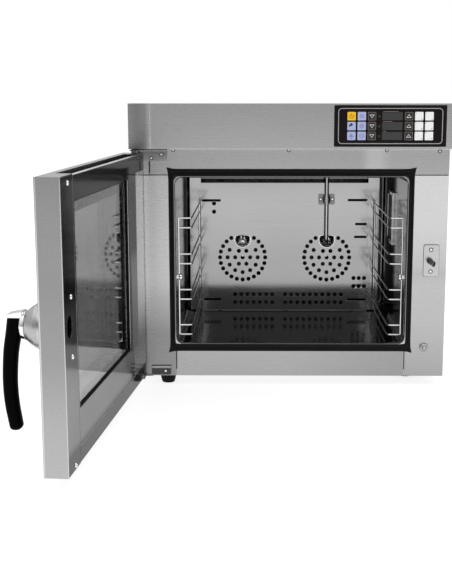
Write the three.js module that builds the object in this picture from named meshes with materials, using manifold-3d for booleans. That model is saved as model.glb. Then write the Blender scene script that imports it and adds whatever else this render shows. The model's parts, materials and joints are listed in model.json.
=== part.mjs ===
// Countertop combi steamer oven with its glazed door standing open.
// Units are millimetres, +Z is up and the front faces -Y. The origin lies on the worktop,
// under the middle of the casing. Heights inside the casing are measured from its underside,
// and depths from its front plane, by the group that lifts and centres the oven.
import * as THREE from 'three';
import { mergeVertices } from 'three/addons/utils/BufferGeometryUtils.js';
import Module from 'manifold-3d';

const wasm = await Module();
wasm.setup();

// ---- Driving dimensions ----
const CASING = { width: 644, depth: 600, height: 553 };
const FOOT = {
  height: 20, soleRadius: 13, topRadius: 16.5, studRadius: 4, insetX: 67, insetY: 28, rightFrontInsetY: 85,
};
const SHEET = 1.5;
const GAP = 0.4;
const FASCIA = { bottom: 474, top: 563, projection: 50 };
const CAVITY = { x: 2.5, width: 476, floor: 69, height: 347, depth: 432, cornerRadius: 16 };
const FLANGE = { width: 491, height: 363 };
const GASKET = { innerWidth: 481, innerHeight: 350.5, outerWidth: 500, outerHeight: 378, proud: 6 };
const SEAM = { upper: 419.6, left: -235, right: 240.4, width: 1.6 };
const BAFFLE = {
  y: 345, left: -200, right: 193, wing: 25.5, bottom: 71, top: 375, foot: 14, ledge: 15, flange: 32,
};
const SLOT = { height: 5.4, clear: 2 };
const FAN = { spacing: 199, x: -2.4, z: 199, wheelRadius: 75, bladeCount: 12, y: 368 };
const PERFORATION = { radius: 4.8, ringPitch: 17.8, sides: 6 };
const INLET = { radius: 19, z: 241.5 };
const RACK = { wire: 3.6, reach: 232.5, tip: 205, front: 30, back: 330, firstRung: 82 };
const LEVEL = { count: 4, pitch: 75.4, gap: 20.4 };
const PANEL = { x: 195, z: 519.5, width: 221, height: 81 };
const KEY = { width: 16.6, height: 16.6, proud: 0.8, pitchX: 20, pitchZ: 19.2, travelRoom: 1.2 };
const HINGE = { x: -310, y: -18, pinRadius: 4 };
const DOOR = { width: 638, bottom: 3, top: 465, thickness: 39.5, openDegrees: 95 };
const PIVOT = { u: 11, v: 11 };
const STILE = 74;
const DOOR_TOP = { clear: 54, ledge: 27, drop: 22, hingeLedge: 10 };
const DOOR_FACE = { back: 3, lip: 30, blockWidth: 22, blockDepth: 19, blockHeight: 14 };
const OUTER_WINDOW = { left: 110, right: 550, bottom: 80, top: 405 };
const INNER_FRAME = { bottom: 32, depth: 8, hingeRelief: 24, sealBorder: 12 };
const WINDOW = { left: 154, right: 558, bottom: 93, top: 423 };
const HANDLE = {
  u: 595, z: 234, shaftRadius: 5, boreRadius: 5.6, baseRadius: 38, baseHeight: 28.5, neckRadius: 23.5,
  neckTip: 18.5, neckEnd: 77, capHalfWidth: 14, capHeight: 7.5, capReach: 98.5,
};
const GRIP = { halfThickness: 12.4, halfWidth: 13.5, sides: 12 };
const STRIKER = { x: 288, z: 244, neckRadius: 3.5, headRadius: 6.5 };
const LATCH_SLOT = { u: 606, z: 235, width: 30, height: 36 };
const SWITCH = { x: 281, z: 61.4, radius: 4 };

// ---- Materials ----
const metal = (color, roughness) => new THREE.MeshStandardMaterial({ color, roughness, metalness: 1 });
const plain = (color, roughness) => new THREE.MeshStandardMaterial({ color, roughness, metalness: 0 });
const steel = metal(0xb4b5b6, 0.38);
const brightSteel = metal(0xd6d8da, 0.18);
const chrome = metal(0xe6e8ea, 0.08);
const darkMetal = metal(0x4a4c4e, 0.5);
const rubber = plain(0x141414, 0.75);
const blackPlastic = plain(0x0c0c0d, 0.35);
const keyPlastic = {
  yellow: plain(0xf2c230, 0.45),
  lavender: plain(0xb9c0dd, 0.45),
  grey: plain(0x2c2d30, 0.45),
  white: plain(0xe9ebee, 0.45),
};
const glass = new THREE.MeshStandardMaterial({
  color: 0xbfc9cb,
  roughness: 0.05,
  metalness: 0,
  transparent: true,
  opacity: 0.35,
});

// ---- Solid helpers ----
function toSolid(geometry) {
  const bare = geometry.index ? geometry.clone() : mergeVertices(geometry);
  bare.deleteAttribute('normal');
  bare.deleteAttribute('uv');
  const merged = mergeVertices(bare, 1e-4);
  return new wasm.Manifold(new wasm.Mesh({
    numProp: 3,
    vertProperties: new Float32Array(merged.attributes.position.array),
    triVerts: new Uint32Array(merged.index.array),
  }));
}

function toGeometry(solid) {
  const mesh = solid.getMesh();
  const geometry = new THREE.BufferGeometry();
  geometry.setAttribute('position', new THREE.BufferAttribute(mesh.vertProperties, 3));
  geometry.setIndex(new THREE.BufferAttribute(mesh.triVerts, 1));
  geometry.computeVertexNormals();
  return geometry;
}

const join = (first, ...others) => others.reduce((whole, other) => whole.add(other), first);
const cut = (body, ...tools) => tools.reduce((rest, tool) => rest.subtract(tool), body);

function block([x0, x1], [y0, y1], [z0, z1]) {
  const geometry = new THREE.BoxGeometry(x1 - x0, y1 - y0, z1 - z0);
  return toSolid(geometry.translate((x0 + x1) / 2, (y0 + y1) / 2, (z0 + z1) / 2));
}

// A flat outline drawn in X and Z, made solid between two depths.
function slab(shape, [y0, y1], curveSegments = 4) {
  const geometry = new THREE.ExtrudeGeometry(shape, {
    depth: y1 - y0, steps: 1, bevelEnabled: false, curveSegments,
  });
  return toSolid(geometry.rotateX(Math.PI / 2).translate(0, y1, 0));
}

// A profile of [radius, distance] pairs turned about an axis through a point.
function turned(profile, axis, [x, y, z], sides = 12) {
  const points = profile.map(([radius, distance]) => new THREE.Vector2(radius, distance));
  const geometry = new THREE.LatheGeometry(points, sides);
  const towards = new THREE.Quaternion().setFromUnitVectors(new THREE.Vector3(0, 1, 0), axis);
  return toSolid(geometry.applyQuaternion(towards).translate(x, y, z));
}

const alongY = new THREE.Vector3(0, 1, 0);
const alongZ = new THREE.Vector3(0, 0, 1);

function rod(radius, axis, [x, y, z], length, sides = 12) {
  return turned([[0, 0], [radius, 0], [radius, length], [0, length]], axis, [x, y, z], sides);
}

function roundedRectangle(cx, cz, width, height, radius) {
  const [x0, x1, z0, z1] = [cx - width / 2, cx + width / 2, cz - height / 2, cz + height / 2];
  const shape = new THREE.Shape();
  shape.moveTo(x0 + radius, z0);
  shape.lineTo(x1 - radius, z0);
  shape.absarc(x1 - radius, z0 + radius, radius, -Math.PI / 2, 0);
  shape.lineTo(x1, z1 - radius);
  shape.absarc(x1 - radius, z1 - radius, radius, 0, Math.PI / 2);
  shape.lineTo(x0 + radius, z1);
  shape.absarc(x0 + radius, z1 - radius, radius, Math.PI / 2, Math.PI);
  shape.lineTo(x0, z0 + radius);
  shape.absarc(x0 + radius, z0 + radius, radius, Math.PI, 1.5 * Math.PI);
  return shape;
}

function polygonShape(points) {
  return new THREE.Shape(points.map(([x, y]) => new THREE.Vector2(x, y)));
}

// A round bar bent along a smooth curve through the given points.
function bentBar(points, radius, steps, sides = 8) {
  const path = new THREE.CatmullRomCurve3(points.map((p) => new THREE.Vector3(...p)), false, 'centripetal');
  const section = polygonShape(Array.from({ length: sides }, (_, i) => {
    const angle = (i * 2 * Math.PI) / sides;
    return [radius * Math.cos(angle), radius * Math.sin(angle)];
  }));
  return toSolid(new THREE.ExtrudeGeometry(section, { steps, bevelEnabled: false, extrudePath: path }));
}

function piece(parent, name, solid, material) {
  const mesh = new THREE.Mesh(toGeometry(solid), material);
  mesh.name = name;
  parent.add(mesh);
}

// ---- The oven body ----
const oven = new THREE.Group();
oven.position.set(0, -CASING.depth / 2, FOOT.height);

const halfWidth = CASING.width / 2;
const cavityCentreZ = CAVITY.floor + CAVITY.height / 2;
const frontPlateDepth = [0, SHEET];
const flangeOpening = centredBlock(FLANGE.width, FLANGE.height, [-1, SHEET + 1]);

// A block centred on the cavity's mouth.
function centredBlock(width, height, y) {
  const [x, z] = [CAVITY.x, cavityCentreZ];
  return block([x - width / 2, x + width / 2], y, [z - height / 2, z + height / 2]);
}

function addCasing() {
  const inner = halfWidth - SHEET;
  const y = [SHEET + GAP, CASING.depth];
  const cover = cut(
    block([-halfWidth, halfWidth], y, [0, CASING.height]),
    block([-inner, inner], [0, CASING.depth + 1], [-1, CASING.height - SHEET]),
  );
  piece(oven, 'casing_cover', cover, steel);

  const side = inner - GAP;
  const trayDepth = [SHEET + GAP, CASING.depth - SHEET - 2 * GAP];
  let tray = cut(
    block([-side, side], trayDepth, [0, 14]),
    block([-side + SHEET, side - SHEET], [trayDepth[0] + SHEET, trayDepth[1] - SHEET], [SHEET, 20]),
  );
  for (const [x, z] of footPlaces()) {
    tray = cut(tray, rod(FOOT.studRadius + GAP, alongZ, [x, z, -1], 10, 8));
  }
  piece(oven, 'base_tray', tray, steel);

  const rearY = [CASING.depth - SHEET, CASING.depth];
  let rear = block([-side, side], rearY, [GAP, CASING.height - SHEET - GAP]);
  const louvreRows = 9;
  for (const x of [-150, 150]) {
    for (let row = 0; row < louvreRows; row += 1) {
      const z = 330 + row * 20;
      rear = cut(rear, block([x - 80, x + 80], [rearY[0] - 1, rearY[1] + 1], [z, z + 5]));
    }
  }
  rear = cut(
    rear,
    rod(9 + GAP, alongY, [-240, rearY[0] - 1, 60], 4, 12),
    rod(11 + GAP, alongY, [240, rearY[0] - 1, 60], 4, 12),
  );
  piece(oven, 'rear_panel', rear, steel);

  const gland = turned(
    [[5, -10], [9, -10], [9, GAP], [14, GAP], [14, 7], [10, 9], [9, 20], [5, 22], [5, -10]],
    alongY, [-240, CASING.depth, 60], 12,
  );
  piece(oven, 'cable_gland', gland, blackPlastic);
  const inlet = turned(
    [[6, -12], [11, -12], [11, GAP], [17, GAP], [17, 6], [13, 6], [13, 26], [6, 26], [6, -12]],
    alongY, [240, CASING.depth, 60], 12,
  );
  piece(oven, 'water_inlet', inlet, brightSteel);
}

function footPlaces() {
  const x = halfWidth - FOOT.insetX;
  const rearY = CASING.depth - FOOT.insetY;
  return [[-x, FOOT.insetY], [x, FOOT.rightFrontInsetY], [-x, rearY], [x, rearY]];
}

function addFeet() {
  const names = ['front_left', 'front_right', 'rear_left', 'rear_right'];
  const top = FOOT.height - GAP;
  const profile = [
    [0, 0], [FOOT.soleRadius, 0], [FOOT.topRadius, top * 0.7], [FOOT.topRadius, top],
    [FOOT.studRadius, top], [FOOT.studRadius, top + 14], [0, top + 14],
  ];
  footPlaces().forEach(([x, y], i) => {
    piece(oven, `foot_${names[i]}`, turned(profile, alongZ, [x, y, -FOOT.height], 12), rubber);
  });
}

function addFrontPlates() {
  const half = SEAM.width / 2;
  const upper = cut(
    block([-halfWidth, halfWidth], frontPlateDepth, [SEAM.upper + half, FASCIA.bottom - GAP]), flangeOpening,
    block([-287, -284.5], [-1, SHEET + 1], [422, 448]),
  );
  piece(oven, 'front_upper_plate', upper, steel);
  const left = cut(
    block([-halfWidth, SEAM.left - half], frontPlateDepth, [0, SEAM.upper - half]), flangeOpening,
  );
  piece(oven, 'front_left_plate', left, steel);
  const right = cut(
    block([SEAM.right + half, halfWidth], frontPlateDepth, [0, SEAM.upper - half]), flangeOpening,
    rod(SWITCH.radius + GAP, alongY, [SWITCH.x, -1, SWITCH.z], 4, 12),
  );
  piece(oven, 'front_right_plate', right, steel);
  const lower = cut(
    block([SEAM.left + half, SEAM.right - half], frontPlateDepth, [0, 100]), flangeOpening,
  );
  piece(oven, 'front_lower_plate', lower, steel);
}

// The fascia stands proud of the casing top, so its back is closed above the casing only.
function addFascia() {
  const inside = [-halfWidth + SHEET, halfWidth - SHEET];
  const shell = cut(
    block([-halfWidth, halfWidth], [-FASCIA.projection, SHEET], [FASCIA.bottom, FASCIA.top]),
    block(inside, [-FASCIA.projection + SHEET, 0], [FASCIA.bottom + SHEET, FASCIA.top - SHEET]),
    block(inside, [-1, SHEET + 1], [FASCIA.bottom + SHEET, CASING.height - SHEET]),
    block(
      [PANEL.x - PANEL.width / 2 + 5, PANEL.x + PANEL.width / 2 - 5], [-FASCIA.projection - 1, -40],
      [PANEL.z - PANEL.height / 2 + 5, PANEL.z + PANEL.height / 2 - 5],
    ),
  );
  piece(oven, 'control_fascia', shell, steel);
}

// ---- Control panel and its eighteen keys ----
const panelFront = -FASCIA.projection - GAP - 1;
const keyColumns = [118.5, 138.5, 158.5, 231, 251, 271];
const keyRows = [1, 0, -1].map((row) => PANEL.z + row * KEY.pitchZ);

function keyList() {
  const byColumn = [
    ['key_power', 'key_light', 'key_fan'],
    ['key_steam', 'key_convection', 'key_vent'],
    ['key_down_1', 'key_down_2', 'key_down_3'],
    ['key_up_1', 'key_up_2', 'key_up_3'],
    ['key_temperature', 'key_time', 'key_humidity'],
    ['key_program', 'key_store', 'key_start'],
  ];
  const colours = ['lavender', 'lavender', 'grey', 'grey', 'white', 'white'];
  return byColumn.flatMap((names, column) => names.map((name, row) => ({
    name,
    x: keyColumns[column],
    z: keyRows[row],
    colour: name === 'key_power' ? 'yellow' : colours[column],
  })));
}

function addControlPanel() {
  const block5 = 5 + GAP;
  let panel = join(
    slab(roundedRectangle(PANEL.x, PANEL.z, PANEL.width, PANEL.height, 2), [panelFront, panelFront + 1]),
    block(
      [PANEL.x - PANEL.width / 2 + block5, PANEL.x + PANEL.width / 2 - block5], [panelFront + 0.5, -41],
      [PANEL.z - PANEL.height / 2 + block5, PANEL.z + PANEL.height / 2 - block5],
    ),
  );
  const keyDepth = 5;
  for (const { x, z } of keyList()) {
    const [w, h] = [KEY.width / 2 + 0.3, KEY.height / 2 + 0.3];
    panel = cut(
      panel,
      block([x - w, x + w], [panelFront - 1, panelFront + keyDepth + KEY.travelRoom], [z - h, z + h]),
    );
  }
  piece(oven, 'control_panel', panel, blackPlastic);
  for (const { name, x, z, colour } of keyList()) {
    const [w, h] = [KEY.width / 2, KEY.height / 2];
    const cap = block([x - w, x + w], [panelFront - KEY.proud, panelFront + keyDepth], [z - h, z + h]);
    piece(oven, name, cap, keyPlastic[colour]);
  }
}

// ---- Cooking cavity ----
function addCavity() {
  const centre = [CAVITY.x, cavityCentreZ];
  const outer = roundedRectangle(
    ...centre, CAVITY.width + 2 * SHEET, CAVITY.height + 2 * SHEET, CAVITY.cornerRadius + SHEET,
  );
  const hollow = roundedRectangle(...centre, CAVITY.width, CAVITY.height, CAVITY.cornerRadius);
  const flange = centredBlock(FLANGE.width - 2 * GAP, FLANGE.height - 2 * GAP, [0, SHEET]);
  let liner = join(slab(outer, [0, CAVITY.depth], 3), flange);
  liner = cut(
    liner, slab(hollow, [-1, CAVITY.depth - SHEET], 3),
    rod(6, alongZ, [95, BAFFLE.y - 8, CAVITY.floor + CAVITY.height - 5], 15, 10),
  );
  for (const x of fanCentres()) {
    liner = cut(liner, rod(7, alongY, [x, CAVITY.depth - 10, FAN.z], 20, 10));
    for (const [legX, legZ] of elementLegs(x)) {
      liner = cut(liner, rod(5, alongY, [legX, CAVITY.depth - 10, legZ], 20, 8));
    }
  }
  piece(oven, 'cavity_liner', liner, brightSteel);

  const { innerWidth, innerHeight, outerWidth, outerHeight, proud } = GASKET;
  const gasket = cut(
    centredBlock(outerWidth, outerHeight, [-proud, -GAP]),
    centredBlock(innerWidth, innerHeight, [-proud - 1, 1]),
  );
  piece(oven, 'cavity_gasket', gasket, rubber);
}

function fanCentres() {
  return [FAN.x - FAN.spacing / 2, FAN.x + FAN.spacing / 2];
}

// ---- Fan baffle: a perforated panel with side wings, a stepped-back top flange and a foot lip ----
function addBaffle() {
  const { y, left, right, wing, bottom, top, foot, ledge, flange } = BAFFLE;
  const rearEdge = top + flange;
  const fold = new THREE.ExtrudeGeometry(
    polygonShape([
      [y, top - SHEET], [y + SHEET, top - SHEET], [y + ledge + SHEET, top + 6.5],
      [y + ledge + 2 * SHEET, rearEdge], [y + ledge + SHEET, rearEdge], [y + ledge, top + 8], [y, top],
    ]),
    { depth: right - left, steps: 1, bevelEnabled: false },
  );
  fold.applyMatrix4(new THREE.Matrix4().set(0, 0, 1, left, 1, 0, 0, 0, 0, 1, 0, 0, 0, 0, 0, 1));
  let baffle = join(
    block([left - wing, right + wing], [y, y + SHEET], [bottom, top]), toSolid(fold),
    block([left, right], [y - foot, y + SHEET], [bottom, bottom + SHEET]),
  );
  const through = [y - 2, y + 4];
  const drill = (x, z, radius, sides) => {
    baffle = cut(baffle, rod(radius, alongY, [x, through[0], z], through[1] - through[0], sides));
  };
  for (const [x, z] of perforations()) {
    drill(x, z, PERFORATION.radius, PERFORATION.sides);
  }
  for (const x of fanCentres()) {
    drill(x, INLET.z, INLET.radius, 20);
  }
  for (const [x0, x1, z] of baffleSlots()) {
    const slot = roundedRectangle((x0 + x1) / 2, z, x1 - x0, SLOT.height, SLOT.height / 2 - 0.1);
    baffle = cut(baffle, slab(slot, through, 2));
  }
  piece(oven, 'fan_baffle', baffle, brightSteel);
}

function baffleSlots() {
  const left = BAFFLE.left + SLOT.clear;
  const right = BAFFLE.right - SLOT.clear;
  return [
    [left, -153, 334], [left + 4, -153, 98],
    [145, right, 335], [163, right, 278.5], [161, right, 248], [147, right, 98],
  ];
}

function perforations() {
  const holes = [];
  for (const cx of fanCentres()) {
    holes.push([cx, FAN.z]);
    for (const ring of [1, 2, 3]) {
      const count = ring === 1 ? 6 : 12 * (ring - 1);
      for (let i = 0; i < count; i += 1) {
        const angle = (i * 2 * Math.PI) / count;
        const hole = [
          cx + ring * PERFORATION.ringPitch * Math.cos(angle),
          FAN.z + ring * PERFORATION.ringPitch * Math.sin(angle),
        ];
        const clearance = Math.hypot(hole[0] - cx, hole[1] - INLET.z);
        if (clearance > INLET.radius + PERFORATION.radius) holes.push(hole);
      }
    }
  }
  const row = (x0, x1, count, z) => {
    for (let i = 0; i < count; i += 1) holes.push([x0 + ((x1 - x0) * i) / (count - 1), z]);
  };
  for (const z of [110, 90.5]) {
    row(-120, -31.4, 7, z);
    row(-1, 132.5, 10, z);
  }
  for (const z of [149.5, 130]) row(161.6, 186.8, 3, z);
  holes.push([-169, 327], [-169, 307.5]);
  return holes;
}

// ---- Fans and heating elements behind the baffle ----
function addFans() {
  const names = ['left', 'right'];
  fanCentres().forEach((x, i) => {
    piece(oven, `fan_wheel_${names[i]}`, fanWheel(x), brightSteel);
    const motor = turned(
      [[4.6, 6], [50, 6], [50, 10], [42, 10], [42, 90], [30, 96], [0, 96], [0, 40], [4.6, 40], [4.6, 6]],
      alongY, [x, CAVITY.depth, FAN.z], 14,
    );
    piece(oven, `fan_motor_${names[i]}`, motor, darkMetal);
    piece(oven, `heating_element_${names[i]}`, heatingElement(x), darkMetal);
  });
}

// A back plate on a shaft, with straight radial blades and a front ring.
function fanWheel(x) {
  const { wheelRadius: r, y, z, bladeCount } = FAN;
  const depth = 34;
  let wheel = turned(
    [[0, 0], [9, 0], [11, depth - 2], [r, depth - 2], [r, depth], [12, depth], [4, depth + 4], [4, 100],
      [0, 100]],
    alongY, [x, y, z], 16,
  );
  const ring = turned([[r - 12, 0], [r, 0], [r, 2], [r - 12, 2], [r - 12, 0]], alongY, [x, y, z], 16);
  wheel = join(wheel, ring);
  for (let i = 0; i < bladeCount; i += 1) {
    const blade = new THREE.BoxGeometry(26, depth - 1, 1.6);
    blade.translate(r - 15, y + depth / 2, 0);
    const turn = new THREE.Matrix4().makeRotationY((i * 2 * Math.PI) / bladeCount);
    blade.applyMatrix4(turn).translate(x, 0, z);
    wheel = join(wheel, toSolid(blade));
  }
  return wheel;
}

function elementLegs(x) {
  return [[x - 12, FAN.z - 88], [x + 12, FAN.z - 88]];
}

function heatingElement(x) {
  const radius = 88;
  const ringY = 392;
  const [start, end] = elementLegs(x);
  const points = [[start[0], CAVITY.depth + 14, start[1]], [start[0], ringY + 16, start[1]]];
  const first = THREE.MathUtils.degToRad(-106);
  const last = THREE.MathUtils.degToRad(-434);
  const count = 20;
  for (let i = 0; i <= count; i += 1) {
    const angle = first + ((last - first) * i) / count;
    points.push([x + radius * Math.cos(angle), ringY, FAN.z + radius * Math.sin(angle)]);
  }
  points.push([end[0], ringY + 16, end[1]], [end[0], CAVITY.depth + 14, end[1]]);
  return bentBar(points, 3.5, 60, 6);
}

// ---- Steam pipe from the ceiling into the right fan inlet ----
function addSteamPipe() {
  const y = BAFFLE.y - 8;
  const top = CAVITY.floor + CAVITY.height + 12;
  const pipe = bentBar(
    [[95, y, top], [95, y, 340], [95, y, 282], [95, y, 268], [96, y + 5, 252], [97, y + 18, 243]], 5, 26, 8,
  );
  piece(oven, 'steam_pipe', pipe, brightSteel);
}

// ---- Tray racks: bent wire rungs in pairs on two uprights ----
function addRacks() {
  for (const [name, side] of [['rack_left', -1], ['rack_right', 1]]) {
    piece(oven, name, wireRack(side), chrome);
  }
}

function wireRack(side) {
  const radius = RACK.wire / 2;
  const wallX = CAVITY.x + side * RACK.reach;
  const tipX = CAVITY.x + side * RACK.tip;
  const rungs = [];
  for (let level = 0; level < LEVEL.count; level += 1) {
    const z = RACK.firstRung + level * LEVEL.pitch;
    rungs.push(z, z + LEVEL.gap);
  }
  const [lowest, highest] = [rungs[0], rungs[rungs.length - 1]];
  const height = highest - lowest + 2 * radius;
  let rack = join(
    rod(radius, alongZ, [wallX, RACK.front, lowest - radius], height, 6),
    rod(radius, alongZ, [tipX, RACK.back, lowest - radius], height, 6),
  );
  const across = new THREE.Vector3(-side, 0, 0);
  for (const z of rungs) {
    rack = join(
      rack,
      rod(radius, across, [wallX, RACK.front, z], RACK.reach - RACK.tip + radius, 6),
      rod(radius, alongY, [tipX, RACK.front, z], RACK.back - RACK.front, 6),
    );
  }
  return rack;
}

// ---- Oven lamp on the right cavity wall ----
function addLamp() {
  const wall = CAVITY.x + CAVITY.width / 2;
  const [y0, y1, z0, z1] = [205, 300, 248, 365];
  const rim = 9;
  const frame = cut(
    block([wall - 8, wall - GAP], [y0, y1], [z0, z1]),
    block([wall - 9, wall + 1], [y0 + rim, y1 - rim], [z0 + rim, z1 - rim]),
  );
  piece(oven, 'lamp_frame', frame, brightSteel);
  const pane = block(
    [wall - 5, wall - 1], [y0 + rim + GAP, y1 - rim - GAP], [z0 + rim + GAP, z1 - rim - GAP],
  );
  piece(oven, 'lamp_glass', pane, glass);
}

// ---- Hinge brackets, strike plate and door switch on the front ----
function addFrontFittings() {
  const face = [-2 - GAP, -GAP];
  const reach = [HINGE.y - 12, -GAP];
  const bracketLeft = HINGE.x - 11.5;
  const upper = join(
    block([-298, -249], face, [448, 471.5]),
    block([bracketLeft, -249], reach, [469, 471.5]),
    rod(HINGE.pinRadius, alongZ, [HINGE.x, HINGE.y, 456], 14, 12),
  );
  piece(oven, 'upper_hinge_bracket', upper, steel);
  const lower = join(
    block([-288, -246], face, [1, 22]),
    block([-288, -246], [-5, -GAP], [19.5, 22]),
    block([bracketLeft, -284], face, [-1, 3]),
    block([bracketLeft, -299], reach, [-1, 1.4]),
    rod(HINGE.pinRadius, alongZ, [HINGE.x, HINGE.y, 1], 12, 12),
  );
  piece(oven, 'lower_hinge_bracket', lower, steel);

  const { x, z, neckRadius, headRadius } = STRIKER;
  const strike = join(
    slab(roundedRectangle(291, 244.7, 33, 67, 5), face),
    turned(
      [[0, 0], [neckRadius, 0], [neckRadius, 18.5], [headRadius, 18.5], [headRadius, 21], [4, 23], [0, 23]],
      new THREE.Vector3(0, -1, 0), [x, -1, z], 12,
    ),
  );
  piece(oven, 'strike_plate', strike, brightSteel);

  const plunger = turned(
    [[0, -6.5], [2.5, -6.5], [SWITCH.radius, -5], [SWITCH.radius, 20], [0, 20]],
    alongY, [SWITCH.x, 0, SWITCH.z], 12,
  );
  piece(oven, 'door_switch_plunger', plunger, brightSteel);
}

// ---- The door, drawn closed about its hinge axis and then swung open ----
// u runs from the hinge edge to the free edge and v from the inner face outwards.
const door = new THREE.Group();
door.position.set(HINGE.x, HINGE.y, 0);
door.rotation.z = -THREE.MathUtils.degToRad(DOOR.openDegrees);
oven.add(door);

const doorBlock = ([u0, u1], [v0, v1], z) => (
  block([u0 - PIVOT.u, u1 - PIVOT.u], [PIVOT.v - v1, PIVOT.v - v0], z)
);
const outwards = new THREE.Vector3(0, -1, 0);
const doorPoint = (u, v, z) => [u - PIVOT.u, PIVOT.v - v, z];

function addDoorShell() {
  const { width, thickness, bottom, top } = DOOR;
  const stileStart = width - STILE;
  const inside = [SHEET, thickness - SHEET];
  const { clear, ledge, drop, hingeLedge } = DOOR_TOP;
  const { back, lip, blockWidth, blockDepth, blockHeight } = DOOR_FACE;
  const shell = join(
    doorBlock([0, width], [thickness - SHEET, thickness], [bottom, top]),
    doorBlock([stileStart, width], [0, thickness], [bottom, top]),
    doorBlock([0, SHEET], [back, thickness], [bottom, top]),
    doorBlock([0, width], [back, thickness], [bottom, bottom + SHEET]),
    doorBlock([0, width], [back, back + SHEET], [bottom, lip]),
    doorBlock([clear, width], [ledge, thickness], [top - SHEET, top]),
    doorBlock([clear, width], [ledge, ledge + SHEET], [top - drop, top]),
    doorBlock([0, clear], [hingeLedge, thickness], [top - SHEET, top]),
    doorBlock([0, blockWidth], [back, blockDepth], [bottom, bottom + blockHeight]),
    doorBlock([0, blockWidth], [back, blockDepth], [top - blockHeight, top]),
  );
  const slot = roundedRectangle(
    LATCH_SLOT.u - PIVOT.u, LATCH_SLOT.z, LATCH_SLOT.width, LATCH_SLOT.height, 14.9,
  );
  const casing = cut(
    shell,
    doorBlock([stileStart + SHEET, width - SHEET], inside, [bottom + SHEET, top - SHEET]),
    doorBlock([OUTER_WINDOW.left, OUTER_WINDOW.right], [thickness - 3, thickness + 1],
      [OUTER_WINDOW.bottom, OUTER_WINDOW.top]),
    slab(slot, [PIVOT.v - 3, PIVOT.v + 1], 6),
    rod(HANDLE.boreRadius, outwards, doorPoint(HANDLE.u, thickness - 4, HANDLE.z), 8, 12),
    rod(HINGE.pinRadius + GAP, alongZ, [0, 0, bottom - 1], 13, 12),
    rod(HINGE.pinRadius + GAP, alongZ, [0, 0, top - 12], 13, 12),
  );
  piece(door, 'door_outer_frame', casing, steel);
  const paneFront = thickness - SHEET - GAP;
  const pane = doorBlock([90, stileStart - GAP], [paneFront - 4, paneFront], [60, 425]);
  piece(door, 'door_outer_glass', pane, glass);
}

function addDoorInnerFrame() {
  const [bottom, top] = [INNER_FRAME.bottom, DOOR.top - 2];
  const right = DOOR.width - STILE - GAP;
  const { depth, hingeRelief, sealBorder: border } = INNER_FRAME;
  const { left: u0, right: u1, bottom: z0, top: z1 } = WINDOW;
  const frame = cut(
    doorBlock([2, right], [0, depth], [bottom, top]),
    doorBlock([2 + SHEET, right - SHEET], [SHEET, depth + 1], [bottom + SHEET, top - SHEET]),
    doorBlock([u0, u1], [-1, depth], [z0, z1]),
    doorBlock([0, hingeRelief], [2.5, depth + 1], [DOOR.top - 16, DOOR.top]),
  );
  piece(door, 'door_inner_frame', frame, steel);
  const seal = cut(
    doorBlock([u0 - border, u1 + 3], [SHEET + GAP, 4.2], [z0 - border, z1 + border]),
    doorBlock([u0 + 2, u1 - 2], [0, 6], [z0 + 2, z1 - 2]),
  );
  piece(door, 'door_window_seal', seal, rubber);
  const pane = doorBlock([u0 - border, u1 + 3], [4.2 + GAP, 8.6], [z0 - border, z1 + border]);
  piece(door, 'door_inner_glass', pane, glass);
}

function addHandle() {
  const { boreRadius, baseRadius, baseHeight, neckRadius, neckTip, neckEnd, capHalfWidth } = HANDLE;
  const base = turned(
    [[boreRadius, 0], [baseRadius, 0], [baseRadius, 5], [35.4, 12.7], [29, 22], [24, baseHeight],
      [boreRadius, baseHeight], [boreRadius, 0]],
    outwards, doorPoint(HANDLE.u, DOOR.thickness + GAP, HANDLE.z), 18,
  );
  piece(door, 'handle_base', base, chrome);

  const neckStart = DOOR.thickness + baseHeight + 1;
  const neck = (grow) => {
    const length = neckEnd - neckStart + grow;
    const profile = [[0, 0], [neckRadius + grow, 0], [neckTip + grow, length], [0, length]];
    return turned(profile, outwards, doorPoint(HANDLE.u, neckStart, HANDLE.z), 16);
  };
  const capBottom = HANDLE.z + 13.5;
  const across = [HANDLE.u - 30, HANDLE.u + 30];
  const hub = join(
    neck(0),
    rod(HANDLE.shaftRadius, outwards, doorPoint(HANDLE.u, 12.8, HANDLE.z), neckStart, 12),
    doorBlock([HANDLE.u - capHalfWidth, HANDLE.u + capHalfWidth], [neckEnd - 4, HANDLE.capReach],
      [capBottom, capBottom + HANDLE.capHeight]),
  );
  const trimmedHub = cut(hub, doorBlock(across, [neckEnd, 200], [0, capBottom]));
  piece(door, 'handle_hub', trimmedHub, chrome);

  const arcPoints = [[88, capBottom + 4], [96, 205], [100.3, 160], [99.3, 115], [92.8, 70]];
  const path = new THREE.CatmullRomCurve3(
    arcPoints.map(([v, z]) => new THREE.Vector3(...doorPoint(HANDLE.u, v, z))), false, 'centripetal',
  );
  const section = polygonShape(Array.from({ length: GRIP.sides }, (_, i) => {
    const angle = ((i + 0.5) * 2 * Math.PI) / GRIP.sides;
    return [GRIP.halfThickness * Math.cos(angle), GRIP.halfWidth * Math.sin(angle)];
  }));
  const bar = toSolid(
    new THREE.ExtrudeGeometry(section, { steps: 12, bevelEnabled: false, extrudePath: path }),
  );
  const grip = cut(bar, doorBlock(across, [60, 120], [capBottom - GAP, capBottom + 30]), neck(GAP));
  piece(door, 'handle_grip', grip, blackPlastic);
  piece(door, 'latch_catch', latchCatch(), brightSteel);
}

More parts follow.
